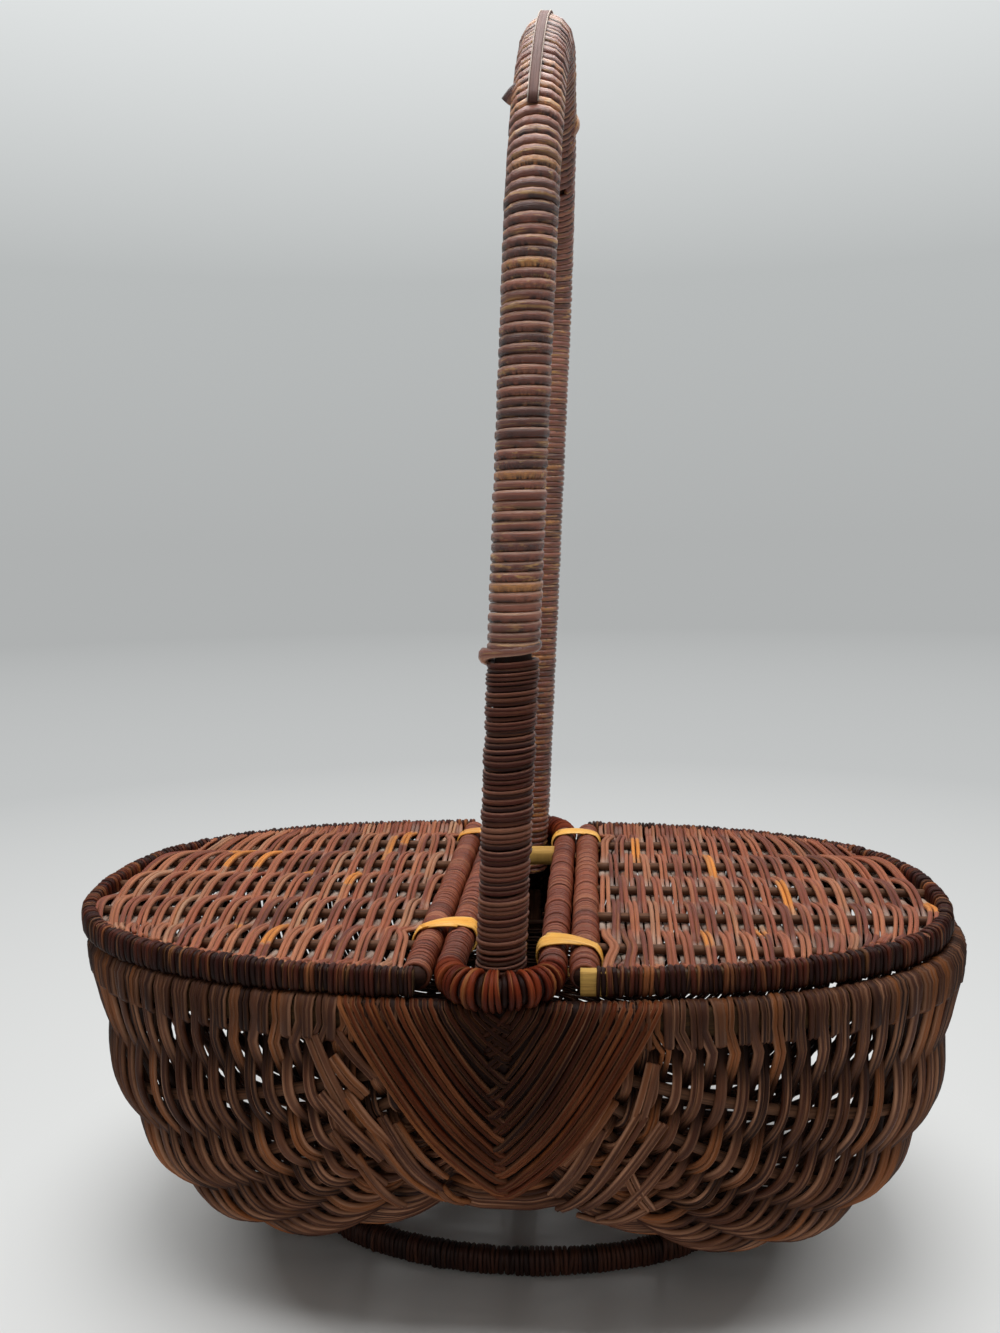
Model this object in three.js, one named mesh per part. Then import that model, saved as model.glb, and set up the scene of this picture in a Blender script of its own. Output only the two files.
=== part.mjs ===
// Gathering basket: an oval rib basket with two bottom lobes, a tall fixed handle and two half lids.
// Each lid turns on a rod that flat cane ties hold against the fixed centre loop.
// Millimetres, +Z up, +X along the basket, -Y towards the front. The origin is on the floor, under
// the middle of the foot ring.
import * as THREE from 'three';

// Driving dimensions: body
const BASKET_LENGTH = 396; // over the rim hoop
const RIM_THICKNESS = 4.5;
const RIM_HEIGHT = 12;
const WALL_THICKNESS = 4;
const OVAL_POWER = 2.5; // of the outlines in plan: 2 is an ellipse, more is squarer
const DEPTH_POWER = 3.4; // of the lobes from front to back
const LOBE_POWER = 2.25; // of the lobes from rim to lowest point
const LOBE_SPACING = 210; // between the lowest points of the two lobes
const KEEL_HEIGHT = 33; // floor to the underside of the keel
const KEEL_WIDTH = 15.4;
const KEEL_THICKNESS = 8;
const BODY_RIB_DIAMETER = 4.4;
const LASHING_WIDTH = 134;
const LASHING_TIP_WIDTH = 44;
const LASHING_TIP_HEIGHT = 57; // floor to the tip
const LASHING_THICKNESS = 4;

// Driving dimensions: foot ring
const FOOT_LENGTH = 212;
const FOOT_WIDTH = 122;
const FOOT_BAR_WIDTH = 10;
const FOOT_HEIGHT = 12;

// Driving dimensions: handle
const LEG_SPACING = 200; // between the leg centres
const HANDLE_HEIGHT = 542; // floor to the top of the winding
const HANDLE_DIAMETER = 20.4; // over the winding
const HANDLE_CORE_DIAMETER = 14;
const HANDLE_LEAN = 3.1; // degrees towards +X
const JOINT_HEIGHT = 283; // floor to the joint in the front leg's winding
const COIL_LOOPS = 24;
const COIL_PITCH = 3.7;
const CANE_WIDTH = 3.1;
const CANE_THICKNESS = 2.7;
const SPLINT_WIDTH = 6;
const SPLINT_THICKNESS = 1.6;
const SPLINT_REACH = 60; // degrees each way from the top of the handle

// Driving dimensions: centre loop, hinges and lids
const LOOP_HEIGHT = 157; // floor to the middle of the loop, the hinge rods and the lids
const LOOP_BAR_SPACING = 40; // between the centres of the loop's two long sides
const LOOP_BAR_DIAMETER = 12;
const LOOP_END_DIAMETER = 16; // the ends are wound thicker
const CROSS_BAR_Y = 60;
const CROSS_BAR_DIAMETER = 10;
const ROD_SPACING = 65; // between the centres of the two hinge rods
const ROD_DIAMETER = 12;
const TIE_WIDTH = 6;
const TIE_THICKNESS = 1.2;
const TIE_Y = { left: [-64, 84], right: [-82, 84] };
const LID_REACH = { left: 203, right: 195 }; // centre of the basket to the end of the lid
const LID_SETBACK = { left: 0, right: 3 }; // of the lid's edge from the basket rim's, at front and back
const LID_RIM_THICKNESS = 6;
const PANEL_THICKNESS = 5;
const PANEL_RISE = 1.5; // middle of the panel above the middle of the lid's rim
const LID_RIB_DIAMETER = 4;
const LID_RIB_SPACING = 38;
const LID_RIB_COUNT = 5;

// Clearances
const CLEARANCE = 0.3; // between pieces that touch
const RIB_CLEARANCE = 0.5; // between a rib and the faceted wall
const LASHING_CLEARANCE = 0.6; // between a lashing and the faceted wall
const TURN_CLEARANCE = 1.2; // between a tie and the panel that turns past it

// Facets
const OVAL_STEPS = 48;
const WALL_STEPS = 16; // front to back
const PROFILE_STEPS = 18; // rim to keel
const RIB_EVERY = 3; // profile steps from rib to rib
const ROUND_SIDES = 12;
const RIB_SIDES = 6;
const ARCH_STEPS = 18;
const ARC_STEPS = 6; // in an outline's quarter circle
const LOOP_END_STEPS = 12; // in each half circle
const ELLIPSE_STEPS = 32;
const COIL_STEPS = 12; // in one loop
const LASHING_COLUMNS = 10;
const LASHING_ROWS = 8;

// Sizes that follow from the driving dimensions
const legHalf = LEG_SPACING / 2;
const handleRadius = HANDLE_DIAMETER / 2;
const rimInner = { x: BASKET_LENGTH / 2 - RIM_THICKNESS, y: legHalf + handleRadius + CLEARANCE };
const rimOuter = { x: BASKET_LENGTH / 2, y: rimInner.y + RIM_THICKNESS };
const rimTop = LOOP_HEIGHT - LOOP_END_DIAMETER / 2 - CLEARANCE;
const wallTop = rimTop - RIM_HEIGHT - CLEARANCE;
const keelEdge = KEEL_WIDTH / 2 + CLEARANCE;
const lobeX = LOBE_SPACING / 2;
const lobeBottom = FOOT_HEIGHT + CLEARANCE;
const rodX = ROD_SPACING / 2;
const rodRadius = ROD_DIAMETER / 2;
const loopBarX = LOOP_BAR_SPACING / 2;
const loopBarRadius = LOOP_BAR_DIAMETER / 2;

const basket = new THREE.Group();

function cane(color, roughness) {
  return new THREE.MeshStandardMaterial({ color, roughness, metalness: 0 });
}

const stainedCane = cane(0x6e4032, 0.5);
const darkCane = cane(0x4a2c1f, 0.6);
const lidCane = cane(0x7d4a39, 0.55);
const bareWood = cane(0xa58c50, 0.7);
const goldenCane = cane(0xf0aa3c, 0.4);

function place(group, name, geometry, material) {
  const mesh = new THREE.Mesh(geometry, material.clone());
  mesh.name = name;
  group.add(mesh);
  return mesh;
}

function turned(radians) {
  const group = new THREE.Group();
  group.rotation.z = radians;
  basket.add(group);
  return group;
}

// The oval outlines are superellipses.
function signedPower(value, power) {
  return Math.sign(value) * Math.abs(value) ** power;
}

function ovalPoint(half, angle) {
  const x = half.x * signedPower(Math.cos(angle), 2 / OVAL_POWER);
  const y = half.y * signedPower(Math.sin(angle), 2 / OVAL_POWER);
  return new THREE.Vector2(x, y);
}

function ovalAngleAt(half, x) {
  return Math.acos((x / half.x) ** (OVAL_POWER / 2));
}

function ovalHalfWidthAt(half, x) {
  return half.y * (1 - (Math.abs(x) / half.x) ** OVAL_POWER) ** (1 / OVAL_POWER);
}

function ovalHalfLengthAt(half, y) {
  return half.x * (1 - (Math.abs(y) / half.y) ** OVAL_POWER) ** (1 / OVAL_POWER);
}

function inset(half, amount) {
  return { x: half.x - amount, y: half.y - amount };
}

function ovalArc(half, from, to, steps) {
  return Array.from({ length: steps + 1 }, (_, i) => ovalPoint(half, from + ((to - from) * i) / steps));
}

function ellipseShape(halfLength, halfWidth) {
  const curve = new THREE.EllipseCurve(0, 0, halfLength, halfWidth);
  return new THREE.Shape(curve.getPoints(ELLIPSE_STEPS).slice(0, -1));
}

// An outline made solid from z = bottom to z = bottom + height, with its edges eased.
function slab(shape, bottom, height, ease = 0) {
  const geometry = new THREE.ExtrudeGeometry(shape, {
    depth: height - 2 * ease,
    bevelEnabled: ease > 0,
    bevelThickness: ease,
    bevelSize: ease,
    bevelOffset: -ease,
    bevelSegments: 1,
    curveSegments: ARC_STEPS,
  });
  return geometry.translate(0, 0, bottom + ease);
}

function polygon(radius, sides) {
  return Array.from({ length: sides }, (_, i) => {
    const angle = (2 * Math.PI * i) / sides;
    return new THREE.Vector2(radius * Math.cos(angle), radius * Math.sin(angle));
  });
}

function signedVolume(points, index) {
  let total = 0;
  const normal = new THREE.Vector3();
  for (let i = 0; i < index.length; i += 3) {
    normal.crossVectors(points[index[i + 1]], points[index[i + 2]]);
    total += points[index[i]].dot(normal);
  }
  return total / 6;
}

// Joins rings with the same even number of points into one closed solid. In each ring point i faces
// point count - 1 - i across the ring's thickness, which is how the end faces are closed. An endless
// run of rings joins its last ring to its first and has no end faces.
function loft(rings, endless = false) {
  const count = rings[0].length;
  const last = (rings.length - 1) * count;
  const points = rings.flat();
  const index = [];
  for (let start = 0; start < (endless ? last + count : last); start += count) {
    const next = (start + count) % points.length;
    for (let i = 0; i < count; i += 1) {
      const j = (i + 1) % count;
      index.push(start + i, start + j, next + j, start + i, next + j, next + i);
    }
  }
  for (let i = 0; i + 1 < count / 2 && !endless; i += 1) {
    const j = count - 1 - i;
    index.push(i, j, i + 1, i + 1, j, j - 1);
    index.push(last + i, last + i + 1, last + j, last + i + 1, last + j - 1, last + j);
  }
  if (signedVolume(points, index) < 0) {
    index.reverse();
  }
  const geometry = new THREE.BufferGeometry().setFromPoints(points);
  geometry.setIndex(index);
  return geometry;
}

// A round or flat rod along points, with each section square to the run and turned to face outwards.
function rodAlong(points, outward, section) {
  return loft(points.map((point, i) => {
    const before = points[Math.max(i - 1, 0)];
    const after = points[Math.min(i + 1, points.length - 1)];
    const along = new THREE.Vector3().subVectors(after, before).normalize();
    const across = new THREE.Vector3().crossVectors(along, outward[i]).normalize();
    const up = new THREE.Vector3().crossVectors(across, along);
    return section.map((p) => point.clone().addScaledVector(across, p.x).addScaledVector(up, p.y));
  }));
}

// Body form. The profile is the wall in the plane y = 0, from the rim (v = 0) down to the keel (v = 1):
// a quarter oval under the rim, then an S up to the keel. Between front and back the wall is the
// profile drawn in towards the rim's front and back, as the ribs are.
const LOBE_SHARE = 2 / 3; // of the profile steps, down to the lowest point

function profile(v, depth) {
  const top = wallTop;
  const bottom = lobeBottom + depth;
  const end = rimOuter.x - depth;
  if (v < LOBE_SHARE) {
    const angle = (Math.PI / 2) * (v / LOBE_SHARE);
    return {
      x: lobeX + (end - lobeX) * Math.cos(angle) ** (2 / LOBE_POWER),
      z: top - (top - bottom) * Math.sin(angle) ** (2 / LOBE_POWER),
    };
  }
  const share = (v - LOBE_SHARE) / (1 - LOBE_SHARE);
  return {
    x: lobeX - (lobeX - keelEdge) * share,
    z: bottom + ((KEEL_HEIGHT + depth - bottom) * (1 - Math.cos(Math.PI * share))) / 2,
  };
}

function wallPoint(angle, v, depth = 0) {
  const section = profile(v, depth);
  return new THREE.Vector3(
    keelEdge + (section.x - keelEdge) * Math.cos(angle) ** (2 / OVAL_POWER),
    (rimOuter.y - depth) * signedPower(Math.sin(angle), 2 / OVAL_POWER),
    wallTop + (section.z - wallTop) * Math.cos(angle) ** (2 / DEPTH_POWER),
  );
}

// The wall stops short of the front and back middle, under the lashings.
const WALL_START = 0.22; // share of the full section
const wallAngle = Math.acos(WALL_START ** (OVAL_POWER / 2));
const wallAngles = Array.from({ length: WALL_STEPS + 1 }, (_, i) => {
  return wallAngle * ((2 * i) / WALL_STEPS - 1);
});

function wallGeometry() {
  const steps = Array.from({ length: PROFILE_STEPS + 1 }, (_, i) => i / PROFILE_STEPS);
  return loft(wallAngles.map((angle) => {
    const outer = steps.map((v) => wallPoint(angle, v));
    const inner = steps.map((v) => wallPoint(angle, v, WALL_THICKNESS));
    return [...outer, ...inner.reverse()];
  }));
}

function bodyRibGeometry(v) {
  const depth = WALL_THICKNESS + RIB_CLEARANCE + BODY_RIB_DIAMETER / 2;
  const points = wallAngles.map((angle) => wallPoint(angle, v, depth));
  const outward = wallAngles.map((angle, i) => wallPoint(angle, v).sub(points[i]));
  return rodAlong(points, outward, polygon(BODY_RIB_DIAMETER / 2, RIB_SIDES));
}

function keelGeometry() {
  const END_SHARE = 0.02;
  const endAngle = Math.acos(END_SHARE ** (OVAL_POWER / 2));
  const half = KEEL_WIDTH / 2;
  return loft(Array.from({ length: WALL_STEPS + 1 }, (_, i) => {
    const angle = endAngle * ((2 * i) / WALL_STEPS - 1);
    const outer = wallPoint(angle, 1);
    const inner = wallPoint(angle, 1, KEEL_THICKNESS);
    return [
      new THREE.Vector3(-half, outer.y, outer.z),
      new THREE.Vector3(half, outer.y, outer.z),
      new THREE.Vector3(half, inner.y, inner.z),
      new THREE.Vector3(-half, inner.y, inner.z),
    ];
  }));
}

// The front of the body at a place in the front view: the rim above, the wall below it.
function frontY(x, z) {
  const across = Math.max(Math.abs(x), keelEdge + KEEL_WIDTH / 2);
  if (z >= wallTop) {
    return -ovalHalfWidthAt(rimOuter, across);
  }
  const angleAt = (v) => {
    const share = Math.min((wallTop - z) / (wallTop - profile(v, 0).z), 1);
    return -Math.acos(share ** (DEPTH_POWER / 2));
  };
  let low = 0.001;
  let high = 1;
  for (let i = 0; i < 40; i += 1) {
    const v = (low + high) / 2;
    if (wallPoint(angleAt(v), v).x > across) {
      low = v;
    } else {
      high = v;
    }
  }
  return wallPoint(angleAt(low), low).y;
}

// The V-shaped lashing over the front middle, from the rim down to its blunt tip.
function lashingGeometry() {
  const TIP_TILT = THREE.MathUtils.degToRad(40); // the wall turns under towards the tip
  const top = rimTop - CLEARANCE;
  return loft(Array.from({ length: LASHING_ROWS + 1 }, (_, row) => {
    const share = row / LASHING_ROWS;
    const z = top + (LASHING_TIP_HEIGHT - top) * share;
    const half = (LASHING_WIDTH + (LASHING_TIP_WIDTH - LASHING_WIDTH) * share) / 2;
    const tilt = TIP_TILT * share;
    const outward = new THREE.Vector3(0, -Math.cos(tilt), -Math.sin(tilt));
    const inner = Array.from({ length: LASHING_COLUMNS + 1 }, (_, column) => {
      const x = half * ((2 * column) / LASHING_COLUMNS - 1);
      return new THREE.Vector3(x, frontY(x, z), z).addScaledVector(outward, LASHING_CLEARANCE);
    });
    const outer = inner.map((point) => point.clone().addScaledVector(outward, LASHING_THICKNESS));
    return [...outer, ...inner.reverse()];
  }));
}

// Body: rim hoop, keel, two woven lobes with their ribs, two lashings
const rimShape = new THREE.Shape(ovalArc(rimOuter, 0, 2 * Math.PI, OVAL_STEPS).slice(0, -1));
rimShape.holes.push(new THREE.Path(ovalArc(rimInner, 0, 2 * Math.PI, OVAL_STEPS).slice(0, -1)));
place(basket, 'rim_hoop', slab(rimShape, rimTop - RIM_HEIGHT, RIM_HEIGHT), bareWood);
place(basket, 'keel', keelGeometry(), darkCane);

for (const [side, turn] of [['right', 0], ['left', Math.PI]]) {
  const lobe = turned(turn);
  place(lobe, `body_weave_${side}`, wallGeometry(), darkCane);
  for (let step = RIB_EVERY; step < PROFILE_STEPS; step += RIB_EVERY) {
    const name = `body_rib_${side}_${step / RIB_EVERY}`;
    place(lobe, name, bodyRibGeometry(step / PROFILE_STEPS), darkCane);
  }
}
place(turned(0), 'lashing_front', lashingGeometry(), stainedCane);
place(turned(Math.PI), 'lashing_back', lashingGeometry(), stainedCane);

// Foot ring
const FOOT_EASE = 2.5;
const footShape = ellipseShape(FOOT_LENGTH / 2, FOOT_WIDTH / 2);
footShape.holes.push(ellipseShape(FOOT_LENGTH / 2 - FOOT_BAR_WIDTH, FOOT_WIDTH / 2 - FOOT_BAR_WIDTH));
place(basket, 'foot_ring', slab(footShape, 0, FOOT_HEIGHT, FOOT_EASE), darkCane);

// Handle: a bent core, with its cane winding in stretches. It is made upright and then leans.
const handle = new THREE.Group();
handle.position.z = LOOP_HEIGHT;
handle.rotation.y = THREE.MathUtils.degToRad(HANDLE_LEAN);
basket.add(handle);
const archHeight = HANDLE_HEIGHT - handleRadius - legHalf - LOOP_HEIGHT;
const legBottom = wallTop + CLEARANCE - LOOP_HEIGHT;
const sleeveInner = HANDLE_CORE_DIAMETER / 2 + CLEARANCE;

function archPoint(radius, angle) {
  return new THREE.Vector3(0, -radius * Math.cos(angle), archHeight + radius * Math.sin(angle));
}

function archPoints(radius, from, to, steps) {
  return Array.from({ length: steps + 1 }, (_, i) => archPoint(radius, from + ((to - from) * i) / steps));
}

class Arch extends THREE.Curve {
  getPoint(share) {
    return archPoint(legHalf, Math.PI * share);
  }
}

function handleCoreGeometry() {
  const arch = archPoints(legHalf, 0, Math.PI, ARCH_STEPS);
  const foot = new THREE.Vector3(0, 0, legBottom - archHeight);
  const points = [arch[0].clone().add(foot), ...arch, arch[ARCH_STEPS].clone().add(foot)];
  const outward = points.map(() => new THREE.Vector3(1, 0, 0));
  return rodAlong(points, outward, polygon(HANDLE_CORE_DIAMETER / 2, ROUND_SIDES));
}

function sleeveShape() {
  const shape = new THREE.Shape(polygon(handleRadius, ROUND_SIDES));
  shape.holes.push(new THREE.Path(polygon(sleeveInner, ROUND_SIDES)));
  return shape;
}

function legSleeve(side, bottom, top) {
  const geometry = new THREE.ExtrudeGeometry(sleeveShape(), { depth: top - bottom, bevelEnabled: false });
  return geometry.translate(0, side * legHalf, bottom);
}

// One unbroken cane wound round the front leg above the joint. Its ends run straight off the winding.
const coilBottom = JOINT_HEIGHT - LOOP_HEIGHT;
const coilLength = COIL_LOOPS * COIL_PITCH + CANE_WIDTH;
const coilRadius = handleRadius - CANE_THICKNESS / 2;

function coilGeometry() {
  const start = coilBottom + CANE_WIDTH / 2;
  const steps = COIL_LOOPS * COIL_STEPS;
  const axis = (i) => new THREE.Vector3(0, -legHalf, start + (COIL_PITCH * i) / COIL_STEPS);
  const outwardAt = (i) => {
    const angle = (2 * Math.PI * i) / COIL_STEPS;
    return new THREE.Vector3(-Math.cos(angle), -Math.sin(angle), 0);
  };
  const points = [];
  const outward = [];
  for (let i = 0; i <= steps; i += 1) {
    outward.push(outwardAt(i));
    points.push(axis(i).addScaledVector(outwardAt(i), coilRadius));
  }
  const tail = (from, before) => {
    const run = new THREE.Vector3().subVectors(from, before).setZ(0).setLength(CANE_WIDTH);
    return from.clone().add(run);
  };
  points.unshift(tail(points[0], points[1]));
  points.push(tail(points[points.length - 1], points[points.length - 2]));
  outward.unshift(outward[0]);
  outward.push(outward[outward.length - 1]);
  const section = polygon(1, RIB_SIDES).map((p) => {
    return new THREE.Vector2((p.x * CANE_WIDTH) / 2, (p.y * CANE_THICKNESS) / 2);
  });
  printLeastGap(points);
  return rodAlong(points, outward, section);
}

// The least gap between a loop of the winding and the next one, along the handle.
function printLeastGap(points) {
  let least = Infinity;
  for (let i = 0; i < points.length; i += 1) {
    for (let j = i + COIL_STEPS / 2; j < points.length; j += 1) {
      least = Math.min(least, points[i].distanceTo(points[j]) - CANE_WIDTH);
    }
  }
  console.log(`handle winding: least gap to itself ${least.toFixed(2)} mm`);
}

function splintGeometry() {
  const reach = THREE.MathUtils.degToRad(SPLINT_REACH);
  const middle = legHalf + handleRadius + CLEARANCE + SPLINT_THICKNESS / 2;
  const steps = Math.round((2 * SPLINT_REACH * ARCH_STEPS) / 180);
  const points = archPoints(middle, Math.PI / 2 - reach, Math.PI / 2 + reach, steps);
  const outward = points.map((point) => point.clone().sub(new THREE.Vector3(0, 0, archHeight)));
  const half = new THREE.Vector2(SPLINT_WIDTH / 2, SPLINT_THICKNESS / 2);
  const corners = [[1, 1], [-1, 1], [-1, -1], [1, -1]];
  return rodAlong(points, outward, corners.map(([x, y]) => new THREE.Vector2(x * half.x, y * half.y)));
}

const coilTop = coilBottom + coilLength;
const sleeveTop = archHeight - CLEARANCE;
const archSleeve = new THREE.ExtrudeGeometry(sleeveShape(), { steps: ARCH_STEPS, extrudePath: new Arch() });
place(handle, 'handle_core', handleCoreGeometry(), bareWood);
place(handle, 'handle_wrap_front_lower', legSleeve(-1, legBottom, coilBottom - CLEARANCE), stainedCane);
place(handle, 'handle_wrap_front_coil', coilGeometry(), stainedCane);
place(handle, 'handle_wrap_front_upper', legSleeve(-1, coilTop + CLEARANCE, sleeveTop), stainedCane);
place(handle, 'handle_wrap_top', archSleeve, stainedCane);
place(handle, 'handle_wrap_back', legSleeve(1, legBottom, sleeveTop), stainedCane);
place(handle, 'handle_splint', splintGeometry(), darkCane);

// Centre loop: a long ring round both legs, resting on the rim hoop at the front and the back
function stadiumShape(halfWidth, halfLength) {
  const straight = halfLength - halfWidth;
  const shape = new THREE.Shape();
  shape.absarc(0, straight, halfWidth, 0, Math.PI);
  shape.absarc(0, -straight, halfWidth, Math.PI, 2 * Math.PI);
  return shape;
}

function loopGeometry() {
  const endRadius = LOOP_END_DIAMETER / 2;
  const straight = rimInner.y + endRadius - loopBarX;
  const rings = [];
  for (const end of [1, -1]) {
    for (let i = 0; i <= LOOP_END_STEPS; i += 1) {
      const angle = (Math.PI * i) / LOOP_END_STEPS;
      const radius = loopBarRadius + (endRadius - loopBarRadius) * Math.sin(angle);
      const across = new THREE.Vector3(end * Math.cos(angle), end * Math.sin(angle), 0);
      const middle = across.clone().multiplyScalar(loopBarX);
      middle.y += end * straight;
      rings.push(polygon(radius, ROUND_SIDES).map((p) => {
        return middle.clone().addScaledVector(across, p.x).setZ(LOOP_HEIGHT + p.y);
      }));
    }
  }
  return loft(rings, true);
}

place(basket, 'centre_loop', loopGeometry(), stainedCane);

const crossBarLength = LOOP_BAR_SPACING - LOOP_BAR_DIAMETER - 2 * CLEARANCE;
const crossBarRadius = CROSS_BAR_DIAMETER / 2;
const crossBar = new THREE.CylinderGeometry(crossBarRadius, crossBarRadius, crossBarLength, ROUND_SIDES);
crossBar.rotateZ(Math.PI / 2);
place(basket, 'cross_bar', crossBar, bareWood).position.set(0, CROSS_BAR_Y, LOOP_HEIGHT);

// Ties: flat bands of cane round a loop bar and the hinge rod beside it
function tieGeometry() {
  const inner = Math.max(loopBarRadius, rodRadius) + CLEARANCE;
  const halfSpan = (rodX - loopBarX) / 2;
  const shape = stadiumShape(inner + TIE_THICKNESS, halfSpan + inner + TIE_THICKNESS);
  shape.holes.push(stadiumShape(inner, halfSpan + inner));
  const geometry = slab(shape, -TIE_WIDTH / 2, TIE_WIDTH);
  return geometry.rotateZ(Math.PI / 2).rotateX(Math.PI / 2);
}

for (const [side, direction] of [['left', -1], ['right', 1]]) {
  TIE_Y[side].forEach((y, i) => {
    const name = `tie_${side}_${['front', 'back'][i]}`;
    const x = (direction * (loopBarX + rodX)) / 2;
    place(basket, name, tieGeometry(), goldenCane).position.set(x, y, LOOP_HEIGHT);
  });
}

// Lids: a bent rim, a hinge rod between its ends, ribs from rod to rim, and the woven panel over them
const LID_EASE = 2;

function lidRimGeometry(outer, inner) {
  const outerAngle = ovalAngleAt(outer, rodX);
  const innerAngle = ovalAngleAt(inner, rodX);
  const outerArc = ovalArc(outer, -outerAngle, outerAngle, OVAL_STEPS / 2);
  const innerArc = ovalArc(inner, innerAngle, -innerAngle, OVAL_STEPS / 2);
  return slab(new THREE.Shape([...outerArc, ...innerArc]), -rodRadius, ROD_DIAMETER, LID_EASE);
}

function hingeRodGeometry(inner) {
  const length = 2 * (ovalHalfWidthAt(inner, rodX + rodRadius) - CLEARANCE);
  return new THREE.CylinderGeometry(rodRadius, rodRadius, length, ROUND_SIDES);
}

// The panel's hinge edge has a notch at each tie, deep enough to turn past it.
function panelGeometry(inner, tieYs) {
  const outer = inset(inner, CLEARANCE);
  const edge = rodX + rodRadius + CLEARANCE;
  const notchDepth = CLEARANCE + TIE_THICKNESS + TURN_CLEARANCE;
  const notchHalf = TIE_WIDTH / 2 + TURN_CLEARANCE;
  const angle = ovalAngleAt(outer, edge);
  const outline = ovalArc(outer, -angle, angle, OVAL_STEPS / 2);
  for (const y of [...tieYs].sort((a, b) => b - a)) {
    outline.push(new THREE.Vector2(edge, y + notchHalf));
    outline.push(new THREE.Vector2(edge + notchDepth, y + notchHalf));
    outline.push(new THREE.Vector2(edge + notchDepth, y - notchHalf));
    outline.push(new THREE.Vector2(edge, y - notchHalf));
  }
  return slab(new THREE.Shape(outline), PANEL_RISE - PANEL_THICKNESS / 2, PANEL_THICKNESS);
}

function lidRibGeometry(inner, y) {
  const start = rodX + rodRadius + CLEARANCE + TIE_THICKNESS + TURN_CLEARANCE;
  const end = ovalHalfLengthAt(inner, Math.abs(y) + LID_RIB_DIAMETER / 2) - CLEARANCE;
  const radius = LID_RIB_DIAMETER / 2;
  const geometry = new THREE.CylinderGeometry(radius, radius, end - start, RIB_SIDES);
  const drop = PANEL_RISE - PANEL_THICKNESS / 2 - CLEARANCE - radius;
  return geometry.rotateZ(Math.PI / 2).translate((start + end) / 2, y, drop);
}

for (const [side, turn, direction] of [['right', 0, 1], ['left', Math.PI, -1]]) {
  const outer = { x: LID_REACH[side], y: rimOuter.y - LID_SETBACK[side] };
  const inner = inset(outer, LID_RIM_THICKNESS);
  const tieYs = TIE_Y[side].map((y) => direction * y);
  const lid = turned(turn);
  lid.position.z = LOOP_HEIGHT;
  place(lid, `lid_${side}_rim`, lidRimGeometry(outer, inner), lidCane);
  place(lid, `lid_${side}_hinge_rod`, hingeRodGeometry(inner), lidCane).position.x = rodX;
  place(lid, `lid_${side}_panel`, panelGeometry(inner, tieYs), lidCane);
  for (let i = 0; i < LID_RIB_COUNT; i += 1) {
    const y = direction * LID_RIB_SPACING * (i - (LID_RIB_COUNT - 1) / 2);
    place(lid, `lid_${side}_rib_${i + 1}`, lidRibGeometry(inner, y), lidCane);
  }
}

export default basket;
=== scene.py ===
"""Gathering basket: the woven cane, bound handle and tied lids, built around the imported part."""
import math

import bpy
import numpy as np
from mathutils import Matrix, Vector
from numpy import array, cos, linspace, pi, sin


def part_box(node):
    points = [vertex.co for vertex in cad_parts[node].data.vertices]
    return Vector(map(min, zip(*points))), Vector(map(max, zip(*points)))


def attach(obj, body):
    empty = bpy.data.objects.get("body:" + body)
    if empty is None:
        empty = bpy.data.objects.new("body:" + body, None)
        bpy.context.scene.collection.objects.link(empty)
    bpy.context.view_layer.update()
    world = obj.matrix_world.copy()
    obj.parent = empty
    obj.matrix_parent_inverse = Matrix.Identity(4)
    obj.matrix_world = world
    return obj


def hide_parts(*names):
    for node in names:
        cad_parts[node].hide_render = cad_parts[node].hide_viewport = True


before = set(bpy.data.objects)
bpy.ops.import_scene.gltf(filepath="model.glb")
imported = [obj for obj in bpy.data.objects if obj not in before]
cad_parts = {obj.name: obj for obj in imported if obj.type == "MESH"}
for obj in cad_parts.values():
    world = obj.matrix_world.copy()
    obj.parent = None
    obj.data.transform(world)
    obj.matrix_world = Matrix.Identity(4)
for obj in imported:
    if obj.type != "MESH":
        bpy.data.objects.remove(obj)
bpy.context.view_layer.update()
SEED = 11
rng = np.random.default_rng(SEED)

# Lengths are in millimetres, in the part's frame, and meshes are written in metres.
MM = 0.001
UP = array([0.0, 0.0, 1.0])
# Factors that leave points as they are, mirror them left to right, or turn them about the upright middle line
AS_IS = np.ones(3)
MIRROR = array([-1.0, 1.0, 1.0])
HALF_TURN = array([-1.0, -1.0, 1.0])


def node_box(node):
    low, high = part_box(node)
    return array(low) / MM, array(high) / MM


# Sizes read from the frame
(_, _, RIM_BOTTOM), (RIM_HALF_LENGTH, RIM_HALF_WIDTH, RIM_TOP) = node_box("rim_hoop")
(KEEL_EDGE, _, LOBE_BOTTOM), (_, _, WALL_TOP) = node_box("body_weave_right")
KEEL_HEIGHT = node_box("keel")[0][2]
loop_low, loop_high = node_box("centre_loop")
LOOP_Z = (loop_low[2] + loop_high[2]) / 2
LOOP_END_RADIUS = (loop_high[2] - loop_low[2]) / 2
LOOP_HALF_LENGTH = loop_high[1] - LOOP_END_RADIUS
FOOT_HALF_LENGTH, FOOT_HALF_WIDTH, FOOT_HEIGHT = node_box("foot_ring")[1]
rod_low, rod_high = node_box("lid_right_hinge_rod")
ROD_X = (rod_low[0] + rod_high[0]) / 2
ROD_RADIUS = (rod_high[0] - rod_low[0]) / 2
lid_boxes = {side: node_box(f"lid_{side}_rim") for side in ("left", "right")}
LID_HALF_WIDTH = {side: box[1][1] for side, box in lid_boxes.items()}
LID_REACH = {"left": -lid_boxes["left"][0][0], "right": lid_boxes["right"][1][0]}

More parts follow.
